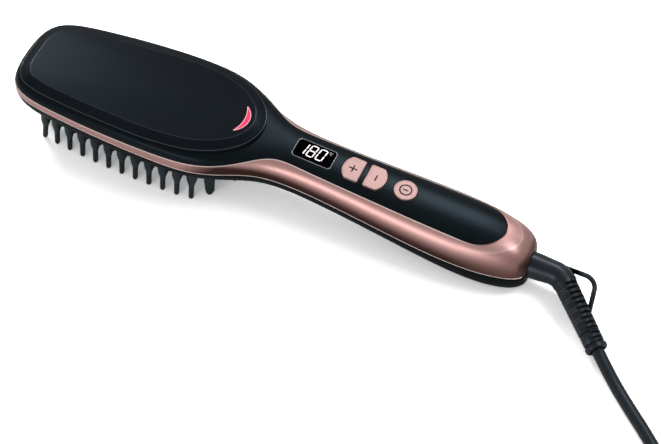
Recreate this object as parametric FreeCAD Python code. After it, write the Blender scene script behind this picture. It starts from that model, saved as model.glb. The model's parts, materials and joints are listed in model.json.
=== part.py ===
import FreeCAD, Part
import math
import os
from FreeCAD import Placement, Rotation, Vector

# A hair straightening brush: a paddle head with heated bristles on a swelling grip, three buttons
# and a display on its top, and a mains cord on a swivelling elbow at its end. It lies bristles down.
#
# Body frame: x runs from the head tip to the cord end, y across, and the back of the head is level.
# Rest frame: the body leaned back until the bristle tips and the grip stand on z = 0, with the
# origin under the middle of the body. Every file is written in the rest frame. Millimetres, degrees.

# ---- Body, seen from above -------------------------------------------------------------------
tip_x = -144.0
neck_x = 2.0
grip_x = 105.0
end_x = 145.0
head_half = 34.0
neck_half = 15.6
grip_half = 19.8
end_half = 8.5

# ---- Body, seen from the side ----------------------------------------------------------------
head_top = 42.0
neck_top = 37.6
grip_top = 28.0
end_top = 15.0
head_side = 33.5
neck_side = 27.5
grip_side = 10.0
end_side = 5.5
tip_floor = 22.5
neck_floor = 14.0
grip_floor = -3.5
end_floor = -3.5
lean = 1.8
lean_x = -60.0

# ---- Shells and seams ------------------------------------------------------------------------
wall = 2.0
seam_gap = 0.15
inlay_drop = 2.9
inlay_end_x = 131.0
screw_bore = 2.2
boss_diameter = 6.5
boss_split = 0.42
mouth_share = 0.55
screw_head = 5.0
screw_shank = 2.0
screw_head_height = 1.8
boss_neck_x = 6.0
boss_grip_x = 107.0

# ---- Head panel and its light ----------------------------------------------------------------
panel_inset = 3.4
panel_shoulder_x = -52.0
panel_end_x = -4.6
panel_floor = 1.6
panel_seat_share = 0.576
panel_edge_share = 0.86
panel_proud = 0.8
panel_bevel = 5.5
panel_seat = head_side + panel_seat_share * (head_top - head_side)
panel_edge = head_side + panel_edge_share * (head_top - head_side)
panel_top = head_top + panel_proud
lens_x = -12.8
lens_half = 8.6
lens_sagitta = 4.7
lens_width = 2.5
light_board_size = (9.0, 16.0, 1.6)

# ---- Display and buttons ---------------------------------------------------------------------
display_x = 24.0
display_length = 20.0
display_width = 11.3
display_chamfer = 1.6
window_depth = 2.4
bezel_width = 0.7
bezel_proud = 0.25
pad_width = 14.4
pad_length = 10.1
pad_arc_rise = 3.4
pad_corner = 1.6
pads_gap = 3.4
pads_x = 52.4
power_x = 75.0
power_diameter = 12.0
button_proud = 0.6
button_bevel = 0.35
button_gap = 0.3
button_travel = 0.8
flange_lip = 0.9
flange_depth = 4.4
flange_thickness = 1.0
stem_diameter = 3.0
stem_end = 7.2

# ---- Control board under the buttons ---------------------------------------------------------
board_start_x = 11.0
board_end_x = 92.0
board_width = 20.0
board_thickness = 1.6
switch_side = 6.0
switch_height = 3.4
switch_slack = 1.1
switch_body_share = 0.65
module_margin = 1.0
triac_size = (10.0, 9.0, 4.4)
triac_tab = (6.0, 9.0, 1.4)
triac_y = -4.0
capacitor_size = (13.0, 6.0, 7.5)
capacitor_at = (6.0, 3.5)
ion_size = (22.0, 13.0, 7.5)
ion_x = -18.0

# ---- Bristles, in the rest frame -------------------------------------------------------------
field_level = 21.3
field_thickness = 2.4
field_inset = 3.2
field_shoulder_x = -45.0
field_end_x = -13.0
field_window_inset = 13.0
bristle_inset = 5.6
bristle_diameter = 2.4
bristle_root = 4.8
bristle_root_height = 5.0
bristle_side_count = 8
bristle_first_x = -124.6
bristle_last_x = -35.4
bristle_count = 12
front_pin_setback = 14.0
front_pin_step = 1.0
front_pin_spread = 12.2
tooth_width = 6.4
tooth_thickness = 2.4
tooth_fall = 0.6
tooth_angles = (42, 76)
blade_length = 4.6
blade_thickness = 2.0
blade_inset = 15.6
blade_inner_y = 6.2
cap_level = 2.4
cap_height = 3.0
cap_lip = 0.45
heater_inset = 9.8
heater_plate = 1.6
heater_length = 60.0
heater_width = 8.0
heater_height = 3.0
heater_y = 9.0
mica = 0.3
clamp = 0.8
clamp_margin = 3.0
fuse_diameter = 3.2
fuse_length = 12.0
sensor_size = (6.0, 3.2, 1.8)
head_screw_inset = 8.4
head_screw_gaps = (2, 9)

# ---- Swivel, elbow and cord, in the rest frame -----------------------------------------------
root_diameter = 14.0
swivel_gap = 0.35
flange_diameter = 17.0
flange_width = 2.0
flange_setback = 3.0
root_depth = 9.0
socket_length = 5.0
elbow_leg = 16.4
elbow_bend_radius = 11.0
elbow_turn = 44.8
elbow_roll = 13.6
bend_diameter = 12.8
sleeve_diameter = 12.0
sleeve_end_diameter = 10.6
sleeve_length = 42.8
groove_count = 11
groove_width = 1.3
groove_depth = 1.1
rib_width = 2.4
collar_length = 4.6
collar_diameter = 11.6
collar_edge = 1.0
loop_diameter = 2.6
loop_side = 4.7
loop_reach = 0.6
loop_lean = 2.9
loop_rounding = 0.35
slip_length = 8.0
slip_diameter = 12.0
lead_diameter = 1.8
lead_side_count = 6
lead_spread = 4.6
cord_diameter = 6.6
cord_runs = [(17.0, -43.0), (20.0, -40.6), (22.5, -44.5), (20.0, -42.0)]
coil_radius = 35.0
coil_width = 21.0
coil_height = 18.0
coil_corner = 5.0
coil_overlap = 3.0
plug_length = 34.0
plug_neck_length = 13.6
plug_neck_width = 9.9
plug_shoulder = 11.9
plug_chamfer = 1.5
plug_width = 33.0
plug_thickness = 15.0
plug_pin_diameter = 4.8
plug_pin_length = 19.0
plug_pin_spacing = 19.0
plug_lead_length = 26.4


def between(start, end, share):
    return start + (end - start) * share


# ---- The skin of the body: one spline surface for each side, steered by cross sections ---------
# A section runs from the crest out to the widest level and in to the floor. Each row is its reach
# from the spine (0) to the outline (1), and its lift: 1 crest, 0 widest level, -1 floor.
head_section = [
    (0, 1), (0.45, 1), (0.86, 0.98), (0.99, 0.62), (1, 0),
    (1, -0.45), (0.93, -0.9), (0.55, -1), (0, -1),
]
grip_section = [
    (0, 1), (0.36, 1), (0.80, 0.86), (1.0, 0.42), (1.03, -0.05),
    (1.0, -0.50), (0.80, -0.90), (0.40, -1), (0, -1),
]


def body_stations():
    """x, half width, x of the spine, crest, widest level, floor, and 0 for head to 1 for grip."""
    def head(share):
        return between(tip_x, neck_x, share)

    def grip(share):
        return between(neck_x, grip_x, share)

    def end(share):
        return between(grip_x, end_x, share)

    def fall(share):
        return between(tip_floor, neck_floor, share)

    return [
        (tip_x, 0, head(0.23), head_top, head_side, tip_floor, 0),
        (tip_x, 0.40 * head_half, head(0.25), head_top, head_side, tip_floor, 0),
        (head(0.03), 0.77 * head_half, head(0.29), head_top, head_side, tip_floor, 0),
        (head(0.20), 0.885 * head_half, head(0.35), head_top, head_side, fall(0.12), 0),
        (head(0.40), 0.97 * head_half, head(0.45), head_top, head_side, fall(0.30), 0),
        (head(0.61), head_half, head(0.60), head_top, head_side - 0.5, fall(0.55), 0),
        (head(0.77), 0.97 * head_half, head(0.75), head_top - 1, head_side - 1, fall(0.76), 0.1),
        (head(0.885), 0.765 * head_half, head(0.87), head_top - 2, head_side - 2, fall(0.85), 0.5),
        (neck_x, neck_half + 1, neck_x, neck_top, neck_side, neck_floor, 1),
        (grip(0.25), neck_half, grip(0.25), between(neck_top, grip_top, 0.26),
         between(neck_side, grip_side, 0.28), between(neck_floor, grip_floor, 0.21), 1),
        (grip(0.64), between(neck_half, grip_half, 0.57), grip(0.64), between(neck_top, grip_top, 0.69),
         between(neck_side, grip_side, 0.66), between(neck_floor, grip_floor, 0.54), 1),
        (grip_x, grip_half, grip_x, grip_top, grip_side, grip_floor, 1),
        (end(0.62), 0.89 * grip_half, end(0.54), grip_top - 1.8,
         between(grip_side, end_side, 0.78), grip_floor - 4.5, 1),
        (end(0.97), 0.66 * grip_half, end(0.9), between(grip_top, end_top, 0.40),
         end_side, grip_floor - 2.5, 1),
        (end_x, end_half, end_x, end_top, end_side, end_floor, 1),
    ]


def inset_station(stations, index, inset):
    """The station moved in by a wall: its outline along its normal, its crest and floor by height."""
    x, half, spine, crest, side, floor, grip = stations[index]
    last = index == len(stations) - 1
    if last:
        x, half, spine = x - inset, half - inset, spine - inset
    else:
        after = stations[index + 1]
        before = stations[index - 1] if index else (after[0], -after[1])
        along, out = after[0] - before[0], after[1] - before[1]
        length = math.hypot(along, out)
        x, half = x + inset * out / length, half - inset * along / length
        if index == 0:
            half = 0
        if x > end_x - 2 * wall:
            spine = spine - inset
    return x, half, spine, crest - inset, side, floor + inset, grip


def section_poles(station, side):
    x, half, spine, crest, level, floor, grip = station
    poles = []
    for (head_reach, head_lift), (grip_reach, grip_lift) in zip(head_section, grip_section):
        reach = between(head_reach, grip_reach, grip)
        lift = between(head_lift, grip_lift, grip)
        z = level + lift * (crest - level if lift > 0 else level - floor)
        poles.append(Vector(spine + reach * (x - spine), side * reach * half, z))
    return poles


def clamped(count, degree=3):
    """Multiplicities and knots of an open spline that starts and ends on its first and last pole."""
    spans = count - degree
    mults = [degree + 1] + [1] * (spans - 1) + [degree + 1]
    return mults, [index / spans for index in range(spans + 1)]


def skin_solid(inset):
    stations = body_stations()
    if inset:
        stations = [inset_station(stations, index, inset) for index in range(len(stations))]
    faces, rims = [], []
    for side in (1, -1):
        poles = [section_poles(station, side) for station in stations]
        u_mults, u_knots = clamped(len(poles))
        v_mults, v_knots = clamped(len(poles[0]))
        surface = Part.BSplineSurface()
        surface.buildFromPolesMultsKnots(poles, u_mults, v_mults, u_knots, v_knots, False, False, 3, 3)
        faces.append(surface.toShape())
        rims.append(surface.uIso(1.0).toShape())
    faces.append(Part.Face(Part.Wire(Part.__sortEdges__(rims))))
    shell = Part.makeShell(faces)
    shell.sewShape()
    solid = Part.makeSolid(shell)
    if solid.Volume < 0:
        solid.reverse()
    return solid


def spline(points):
    mults, knots = clamped(len(points))
    curve = Part.BSplineCurve()
    curve.buildFromPolesMultsKnots([Vector(x, 0, z) for x, z in points], mults, knots, False, 3)
    return curve


# ---- Parting: two curves in the side view split the skin into cover, trim and bottom -----------
def upper_parting():
    head = [(-0.11, 0.365), (0.1, 0.27), (0.37, 0.2), (0.61, 0.106), (0.77, 0.012), (0.89, 0.047)]
    points = [(between(tip_x, neck_x, along), between(head_side, head_top, up)) for along, up in head]
    points.append((neck_x + wall, neck_top - wall / 2))
    for share, drop in ((0.18, 0.72), (0.47, 0.93), (0.76, 1.0), (0.95, 1.0)):
        crest = between(neck_top, grip_top, share)
        points.append((between(neck_x, grip_x, share), crest - drop * inlay_drop))
    for back, drop in ((-18, 1.15), (-9, 1.35), (0, 1.3), (3, 0)):
        points.append((inlay_end_x + back, grip_top - drop * inlay_drop))
    return points


def lower_parting():
    head = [(-0.11, 0.1), (0.1, 0.155), (0.37, 0.236), (0.61, 0.427), (0.78, 0.59), (0.93, 0.61)]
    points = [(between(tip_x, neck_x, along), between(head_side, tip_floor, down)) for along, down in head]
    for share, rise in ((0.06, -2.5), (0.25, -1.6), (0.66, -0.5), (1.1, 0.7)):
        points.append((between(neck_x, grip_x, share), between(neck_side, grip_side, share) + rise))
    points.append((end_x + 3, end_side + 1.5))
    return points


def parting_prism(points, far_level):
    """Everything on one side of a parting curve, as wide as the body and more."""
    reach = 2 * head_half
    curve = spline(points)
    start, end = curve.StartPoint, curve.EndPoint
    corners = [end, Vector(end.x, 0, far_level), Vector(start.x, 0, far_level), start]
    edges = [curve.toShape()] + [Part.makeLine(a, b) for a, b in zip(corners, corners[1:])]
    face = Part.Face(Part.Wire(edges))
    solid = face.extrude(Vector(0, 2 * reach, 0))
    solid.translate(Vector(0, -reach, 0))
    return solid


# ---- Outlines, seen from above -----------------------------------------------------------------
def outline_curve():
    """The widest line of the body from above, tip to end, on the +y side."""
    return spline([(x, half) for x, half, *_ in body_stations()])


def rim_point(outline, x, inset):
    """The point of the outline at x, moved inward along its normal."""
    low, high = 0.0, 1.0
    for _ in range(40):
        middle = (low + high) / 2
        low, high = (middle, high) if outline.value(middle).x < x else (low, middle)
    point, tangent = outline.value(low), outline.tangent(low)[0]
    return point.x + inset * tangent.z, point.z - inset * tangent.x


def paddle(outline, inset, shoulder_x, end_x_, level):
    """A closed curve that follows the head at an inset and rounds off towards the neck."""
    length = shoulder_x - tip_x
    half = [rim_point(outline, tip_x + share * length, inset) for share in (0.02, 0.08, 0.19, 0.38, 0.66)]
    shoulder_y = rim_point(outline, shoulder_x, inset)[1]
    for angle in (0, 25, 48, 70):
        turn = math.radians(angle)
        half.append((between(shoulder_x, end_x_, math.sin(turn)), shoulder_y * math.cos(turn)))
    ring = [(tip_x + inset, 0)] + half + [(end_x_, 0)] + [(x, -y) for x, y in reversed(half)]
    curve = Part.BSplineCurve()
    curve.interpolate(Points=[Vector(x, y, level) for x, y in ring], PeriodicFlag=True)
    return Part.Wire(curve.toShape())


def prism(wire, height):
    return Part.Face(wire).extrude(Vector(0, 0, height))


def plate(outline, inset, shoulder_x, end_x_, bottom, top):
    return prism(paddle(outline, inset, shoulder_x, end_x_, bottom), top - bottom)


def box(x, y, z, length, width, height):
    """A box centred on x and y, standing on z."""
    return Part.makeBox(length, width, height, Vector(x - length / 2, y - width / 2, z))


def rod(x, y, z, diameter, height):
    return Part.makeCylinder(diameter / 2, height, Vector(x, y, z))


def fuse(shapes):
    return shapes[0].multiFuse(shapes[1:]).removeSplitter()


def flats(count, radius, centre, normal):
    """A regular polygon square to a direction."""
    turn = Placement(centre, Rotation(Vector(0, 0, 1), normal))
    angles = [2 * math.pi * index / count for index in range(count + 1)]
    corners = [Vector(radius * math.cos(angle), radius * math.sin(angle), 0) for angle in angles]
    return Part.makePolygon([turn.multVec(corner) for corner in corners])


def group(shapes):
    return Part.makeCompound(shapes)


# ---- Crest: what sits on the grip is built flat and laid on the crest --------------------------
def crest_spline():
    return spline([(spine, crest) for _, _, spine, crest, *_ in body_stations()])


def on_crest(crest, x):
    """A placement on the crest at x: its z is the outward normal, its x runs towards the cord."""
    low, high = 0.0, 1.0
    for _ in range(40):
        middle = (low + high) / 2
        low, high = (middle, high) if crest.value(middle).x < x else (low, middle)
    tangent = crest.tangent(low)[0]
    slope = math.degrees(math.atan2(tangent.z, tangent.x))
    return Placement(crest.value(low), Rotation(Vector(0, 1, 0), -slope))


def placed(shape, placement):
    moved = shape.copy()
    moved.Placement = placement.multiply(shape.Placement)
    return moved


# ---- Shells of the body ------------------------------------------------------------------------
def build_shells(outline):
    outer = skin_solid(0)
    cavity = skin_solid(wall)
    above = parting_prism(upper_parting(), 3 * head_top)
    below = parting_prism(lower_parting(), -2 * head_top)
    down, up = Vector(0, 0, -seam_gap), Vector(0, 0, seam_gap)
    trim = outer.cut(cavity).cut(above.translated(down)).cut(below.translated(up))
    bottom = outer.common(below).cut(cavity)
    # Under the panel the cover steps down to a floor of its own.
    rim = panel_inset - wall
    step = plate(outline, rim, panel_shoulder_x, panel_end_x + wall, panel_seat - panel_floor, 2 * head_top)
    rim = panel_inset - seam_gap
    recess = plate(outline, rim, panel_shoulder_x, panel_end_x + seam_gap, panel_seat, 2 * head_top)
    cover = outer.common(above).cut(cavity.cut(step)).cut(recess)
    return outer, cavity, cover, trim, bottom


def crescent(grow, bottom, top):
    """The light's shape: two arcs that meet at the tips and bulge towards the grip."""
    tip, front, back = lens_half + grow, lens_x + grow, lens_x - lens_width - grow
    root = lens_x - lens_sagitta
    low, high = Vector(root - grow, -tip, bottom), Vector(root - grow, tip, bottom)
    outward = Part.Arc(low, Vector(front, 0, bottom), high).toShape()
    inward = Part.Arc(high, Vector(back, 0, bottom), low).toShape()
    return prism(Part.Wire([outward, inward]), top - bottom)


def build_panel(outline):
    edge = paddle(outline, panel_inset, panel_shoulder_x, panel_end_x, panel_edge)
    flat = paddle(outline, panel_inset + panel_bevel, panel_shoulder_x, panel_end_x - panel_bevel, panel_top)
    base = plate(outline, panel_inset, panel_shoulder_x, panel_end_x, panel_seat, panel_edge)
    hollow = plate(outline, panel_inset + wall, panel_shoulder_x, panel_end_x - wall, panel_seat, panel_edge)
    panel = fuse([base, Part.makeLoft([edge, flat], True, True)]).cut(hollow)
    return {
        "head_panel": panel.cut(crescent(seam_gap, panel_seat, 2 * panel_top)),
        "light_lens": crescent(0, panel_edge - seam_gap, panel_top),
        "light_board": box(lens_x - lens_sagitta, 0, panel_seat, *light_board_size),
    }


# ---- Display and buttons, built flat -----------------------------------------------------------
def chamfered(length, width, chamfer, bottom, top):
    x, y, c = length / 2, width / 2, chamfer
    corners = [(c - x, -y), (x - c, -y), (x, c - y), (x, y - c)]
    corners += [(-px, -py) for px, py in corners]
    points = [Vector(px, py, bottom) for px, py in corners]
    return prism(Part.makePolygon(points + points[:1]), top - bottom)


def pad(grow, bottom, top):
    """The minus pad's D, its flat side at x = 0; the plus pad is its mirror image."""
    reach, half, bulge = pad_length + grow, pad_width / 2 + grow, pad_arc_rise
    a, b = Vector(-grow, -half, bottom), Vector(reach - bulge, -half, bottom)
    c, d = Vector(reach - bulge, half, bottom), Vector(-grow, half, bottom)
    front = Part.Arc(b, Vector(reach, 0, bottom), c).toShape()
    edges = [Part.makeLine(a, b), front, Part.makeLine(c, d), Part.makeLine(d, a)]
    solid = prism(Part.Wire(edges), top - bottom)
    upright = [edge for edge in solid.Edges if edge.BoundBox.ZLength > (top - bottom) / 2]
    return solid.makeFillet(pad_corner + grow, upright)


def top_edges(solid, level):
    return [edge for edge in solid.Edges if all(abs(vertex.Z - level) < 1e-6 for vertex in edge.Vertexes)]


def button(shape, stem_x):
    """A cap through the cover, a flange that keeps it in, and a stem over its switch."""
    cap = shape(0, -flange_depth + flange_thickness, button_proud)
    cap = cap.makeChamfer(button_bevel, top_edges(cap, button_proud))
    flange = shape(flange_lip, -flange_depth, -flange_depth + flange_thickness)
    stem = rod(stem_x, 0, -stem_end, stem_diameter, stem_end - flange_depth)
    return fuse([cap, flange, stem])


def disc(grow, bottom, top):
    return rod(0, 0, bottom, power_diameter + 2 * grow, top - bottom)


def pad_stem_x():
    return pad_length * 0.45


def tact_switch(x):
    """A square switch body with a round plunger, its top just under the stem."""
    plunger = -stem_end - switch_slack
    board_top = plunger - switch_height
    body = box(x, 0, board_top, switch_side, switch_side, switch_height * switch_body_share)
    return fuse([body, rod(x, 0, board_top, stem_diameter, switch_height)])


def build_controls(outer, crest):
    """The display and the buttons, and the pockets they need in the shells."""
    nodes, pockets = {}, []
    pads, power, screen = on_crest(crest, pads_x), on_crest(crest, power_x), on_crest(crest, display_x)
    turned = Placement(Vector(0, 0, 0), Rotation(Vector(0, 0, 1), 180))
    shift = Placement(Vector(pads_gap / 2, 0, 0), Rotation())
    minus_at = pads.multiply(shift)
    plus_at = pads.multiply(turned).multiply(shift)
    nodes["minus_button"] = placed(button(pad, pad_stem_x()), minus_at)
    nodes["plus_button"] = placed(button(pad, pad_stem_x()), plus_at)
    nodes["power_button"] = placed(button(disc, 0), power)
    for shape, at in ((pad, minus_at), (pad, plus_at), (disc, power)):
        pockets.append(placed(shape(button_gap, -2 * wall, 2 * wall), at))
    gap, deep = 2 * seam_gap, 2 * wall
    pocket = chamfered(display_length + gap, display_width + gap, display_chamfer, -deep, deep)
    pockets.append(placed(pocket, screen))
    glass_length, glass_width = display_length - 2 * bezel_width, display_width - 2 * bezel_width
    corner = display_chamfer - bezel_width / 2
    block = chamfered(display_length, display_width, display_chamfer, -window_depth, deep)
    hole = chamfered(glass_length, glass_width, corner, -deep, deep)
    proud = outer.translated(screen.Rotation.multVec(Vector(0, 0, bezel_proud)))
    nodes["display_bezel"] = placed(block.cut(hole), screen).common(proud)
    glass = chamfered(glass_length - seam_gap, glass_width - seam_gap, corner, -window_depth, wall)
    nodes["display_window"] = placed(glass, screen).common(outer)
    return nodes, group(pockets), (minus_at, plus_at, power, screen)


def build_board(crest, places):
    """The control board and what stands on it, level with the crest at the buttons."""
    minus_at, plus_at, power, screen = places
    nodes = {}
    middle = on_crest(crest, (board_start_x + board_end_x) / 2)
    board_top = -stem_end - switch_slack - switch_height
    length = board_end_x - board_start_x
    to_board = middle.inverse()

    def local_x(at, x=0):
        return to_board.multVec(at.multVec(Vector(x, 0, 0))).x

    board = box(0, 0, board_top - board_thickness, length, board_width, board_thickness)
    nodes["control_board"] = placed(board, middle)
    stems = [local_x(minus_at, pad_stem_x()), local_x(plus_at, pad_stem_x()), local_x(power)]
    nodes["tact_switches"] = placed(group([tact_switch(x) for x in stems]), middle)
    module_height = -window_depth - 2 * seam_gap - board_top
    module_length = display_length - 2 * module_margin
    module = box(local_x(screen), 0, board_top, module_length, display_width, module_height)
    nodes["display_module"] = placed(module, middle)
    under = board_top - board_thickness
    tab_x = length / 2 - triac_tab[0] / 2 - module_margin
    triac_x = tab_x - (triac_tab[0] + triac_size[0]) / 2
    tab = box(tab_x, triac_y, under - triac_tab[2], *triac_tab)
    triac = fuse([box(triac_x, triac_y, under - triac_size[2], *triac_size), tab])
    nodes["power_triac"] = placed(triac, middle)
    capacitor = box(*capacitor_at, under - capacitor_size[2], *capacitor_size)
    nodes["filter_capacitor"] = placed(capacitor, middle)
    nodes["ion_generator"] = placed(box(ion_x, 0, under - ion_size[2], *ion_size), middle)
    return nodes


# ---- Screws and bosses -------------------------------------------------------------------------
def pan_screw(x, y, head_z, length):
    """A pan head screw driven upward, its head's face at head_z."""
    head = rod(x, y, head_z, screw_head, screw_head_height)
    return fuse([head, rod(x, y, head_z + screw_head_height, screw_shank, length)])


def add_bosses(outer, cover, trim, bottom):
    """Two hollow columns join the cover and the bottom along the grip."""
    screws = []
    for x, floor_z, split_z, top_z in boss_sites(outer):
        column = rod(x, 0, -2 * head_top, boss_diameter, 4 * head_top).common(outer)
        upper = rod(x, 0, split_z + seam_gap, 2 * boss_diameter, 4 * head_top)
        lower = rod(x, 0, split_z - 4 * head_top, 2 * boss_diameter, 4 * head_top)
        web = floor_z + wall + screw_head_height
        pilot = rod(x, 0, web - wall, screw_bore, top_z - 2 * wall - web + wall)
        sink = rod(x, 0, -4 * head_top, screw_head + 4 * seam_gap, 4 * head_top + web)
        cover = fuse([cover, column.common(upper)]).cut(pilot)
        bottom = fuse([bottom, column.common(lower)]).cut(pilot).cut(sink)
        trim = trim.cut(rod(x, 0, -2 * head_top, boss_diameter + 2 * seam_gap, 4 * head_top))
        screws.append(pan_screw(x, 0, web - screw_head_height, split_z - web + 3 * wall))
    return cover, trim, bottom, group(screws)


def boss_sites(outer):
    sites = []
    for x in (boss_neck_x, boss_grip_x):
        probe = outer.common(Part.makeLine(Vector(x, 0, -2 * head_top), Vector(x, 0, 2 * head_top)))
        floor_z, top_z = probe.BoundBox.ZMin, probe.BoundBox.ZMax
        sites.append((x, floor_z, between(floor_z, top_z, boss_split), top_z))
    return sites


# ---- The rest frame ----------------------------------------------------------------------------
def lowest(shape):
    return min(point.z for point in shape.tessellate(0.1)[0])


def rest_placement(bottom):
    """Leans the body back about the head and lifts it until the grip stands on z = 0."""
    leaned = Placement(Vector(0, 0, 0), Rotation(Vector(0, 1, 0), -lean), Vector(lean_x, 0, 0))
    lift = -lowest(placed(bottom, leaned))
    return Placement(Vector(0, 0, lift), Rotation()).multiply(leaned)


def rest_outline(rest):
    """The widest line of the body again, as it is seen from above in the rest frame."""
    line = []
    for x, half, _, _, side, *_ in body_stations():
        point = rest.multVec(Vector(x, half, side))
        line.append((point.x, point.y))
    return spline(line)


# ---- Bristles, heated teeth and heaters --------------------------------------------------------
def bristle_xs():
    step = (bristle_last_x - bristle_first_x) / (bristle_count - 1)
    return [bristle_first_x + step * index for index in range(bristle_count)], step


def bristle(x, y):
    """A pin with a blunt tip on z = 0 and a conical root. So many are kept to a few flats each."""
    blunt = bristle_diameter / 3
    levels = [(0, blunt), (blunt, bristle_diameter / 2)]
    levels += [(field_level - bristle_root_height, bristle_diameter / 2), (field_level, bristle_root / 2)]
    up = Vector(0, 0, 1)
    rings = [flats(bristle_side_count, radius, Vector(x, y, z), up) for z, radius in levels]
    return Part.makeLoft(rings, True, True)


def wide_tooth(x, y, turn):
    """A flat tooth with a round end, set across the run of the rim."""
    half = tooth_width / 2
    y_face = -tooth_thickness / 2
    a, b = Vector(-half, y_face, field_level), Vector(half, y_face, field_level)
    c, d = Vector(half, y_face, tooth_fall + half), Vector(-half, y_face, tooth_fall + half)
    tip = Part.Arc(c, Vector(0, y_face, tooth_fall), d).toShape()
    face = Part.Face(Part.Wire([Part.makeLine(a, b), Part.makeLine(b, c), tip, Part.makeLine(d, a)]))
    tooth = face.extrude(Vector(0, tooth_thickness, 0))
    return placed(tooth, Placement(Vector(x, y, 0), Rotation(Vector(0, 0, 1), turn)))


def build_bristles(outline):
    """The pins round the rim. The first and last two of each row are what the head stands on."""
    xs = bristle_xs()[0]
    standing, guard = [], []
    for x in xs:
        rim_y = rim_point(outline, x, bristle_inset)[1]
        row = standing if x in xs[:2] + xs[-2:] else guard
        row += [bristle(x, rim_y), bristle(x, -rim_y)]
    front = tip_x + front_pin_setback
    guard.append(bristle(front, 0))
    guard += [bristle(front + front_pin_step, side * front_pin_spread) for side in (1, -1)]
    teeth = []
    along = field_end_x - bristle_inset - field_shoulder_x
    across = rim_point(outline, field_shoulder_x, bristle_inset)[1]
    for angle in tooth_angles:
        sine, cosine = math.sin(math.radians(angle)), math.cos(math.radians(angle))
        turn = math.degrees(math.atan2(across * sine, along * cosine))
        for side in (1, -1):
            teeth.append(wide_tooth(field_shoulder_x + along * sine, side * across * cosine, -side * turn))
    return {"standing_bristles": group(standing), "guard_bristles": group(guard), "neck_teeth": group(teeth)}


def build_heated_field(outline):
    heated_level = field_level + field_thickness
    window_end = field_end_x - field_window_inset
    ring = plate(outline, field_inset, field_shoulder_x, field_end_x, field_level, heated_level)
    window = plate(outline, field_window_inset, field_shoulder_x, window_end, 0, head_top)
    heater_level = heated_level + heater_plate
    heater_end = field_end_x - heater_inset
    aluminium = plate(outline, heater_inset, field_shoulder_x, heater_end, heated_level, heater_level)
    xs, step = bristle_xs()
    blades, caps = [], []
    cap_size = (blade_length + 2 * cap_lip, blade_thickness + 2 * cap_lip, cap_height)
    for x in xs[:-1]:
        middle = x + step / 2
        outer_y = rim_point(outline, middle, blade_inset)[1]
        for y in (-outer_y, -blade_inner_y, blade_inner_y, outer_y):
            low = cap_level + cap_height / 2
            blade = box(middle, y, low, blade_length, blade_thickness, heated_level - low)
            blades.append(blade)
            caps.append(box(middle, y, cap_level, *cap_size).cut(blade))
    heater_x = between(bristle_first_x, bristle_last_x, 0.5)
    top = heater_level + heater_height
    size = (heater_length, heater_width, heater_height)
    heaters = [box(heater_x, side * heater_y, heater_level, *size) for side in (1, -1)]
    spread = 2 * heater_y + heater_width
    clamp_length, clamp_width = heater_length - clamp_margin, spread - clamp_margin
    nodes = {
        "bristle_frame": ring.cut(window),
        "heating_plate": aluminium,
        "heated_teeth": group(blades),
        "tooth_caps": group(caps),
        "ptc_heaters": group(heaters),
        "mica_sheet": box(heater_x, 0, top, heater_length, spread, mica),
        "heater_clamp": box(heater_x, 0, top + mica, clamp_length, clamp_width, clamp),
        "temperature_sensor": box(heater_x, 0, heater_level, *sensor_size),
    }
    fuse_at = Vector(heater_x, 0, top + mica + clamp + fuse_diameter / 2)
    lying = Placement(fuse_at, Rotation(Vector(0, 1, 0), 90))
    nodes["thermal_fuse"] = placed(rod(0, 0, 0, fuse_diameter, fuse_length), lying)
    return nodes


def head_screw_points(outline):
    xs, step = bristle_xs()
    points = []
    for index in head_screw_gaps:
        x, y = rim_point(outline, xs[index] + step / 2, head_screw_inset)
        points += [(x, y), (x, -y)]
    return points


def fasten_head(outline, rest, nodes):
    """Four columns under the cover take the screws that hold the bristle frame."""
    screws, columns, pilots = [], [], []
    seat = field_level + field_thickness
    for x, y in head_screw_points(outline):
        top = rest.multVec(Vector(x, y, panel_seat - panel_floor / 2)).z
        columns.append(rod(x, y, seat, boss_diameter, top - seat))
        pilots.append(rod(x, y, 0, screw_bore, between(seat, top, 0.75)))
        sink = rod(x, y, 0, screw_head + 2 * seam_gap, field_level + screw_head_height)
        room = rod(x, y, seat, boss_diameter + 2 * seam_gap, heater_plate)
        nodes["bristle_frame"] = nodes["bristle_frame"].cut(sink)
        nodes["heating_plate"] = nodes["heating_plate"].cut(room)
        screws.append(pan_screw(x, y, field_level, between(seat, top, 0.5) - field_level))
    nodes["top_cover"] = fuse([nodes["top_cover"]] + columns).cut(group(pilots))
    nodes["bristle_frame"] = nodes["bristle_frame"].cut(group(pilots))
    nodes["head_screws"] = group(screws)


# ---- Round runs: straight lengths joined by arcs that touch them --------------------------------
def round_path(points, rounding):
    """One wire along the points, each corner rounded over a share of its shorter run, and the radii."""
    edges, radii, start = [], [], points[0]
    for before, corner, after in zip(points, points[1:], points[2:]):
        back, forth = before - corner, after - corner
        half_turn = (math.pi - back.getAngle(forth)) / 2
        tangent = rounding * min(back.Length, forth.Length)
        radius = tangent / math.tan(half_turn)
        entry, leave = corner + back.normalize() * tangent, corner + forth.normalize() * tangent
        inward = (back + forth).normalize()
        middle = corner + inward * (radius / math.cos(half_turn) - radius)
        edges += [Part.LineSegment(start, entry).toShape(), Part.Arc(entry, middle, leave).toShape()]
        radii.append(radius)
        start = leave
    edges.append(Part.LineSegment(start, points[-1]).toShape())
    return Part.Wire(edges), radii


def tube(points, diameter, rounding=0.45, sides=0):
    """A round tube along the points, or one with flat sides, with its length and arc radii."""
    wire, radii = round_path(points, rounding)
    heading = points[1] - points[0]
    if sides:
        ring = flats(sides, diameter / 2, points[0], heading)
    else:
        ring = Part.Wire(Part.makeCircle(diameter / 2, points[0], heading))
    solid = wire.makePipeShell([ring], True, False)
    if solid.Volume < 0:
        solid.reverse()
    return solid, wire.Length, radii


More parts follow.
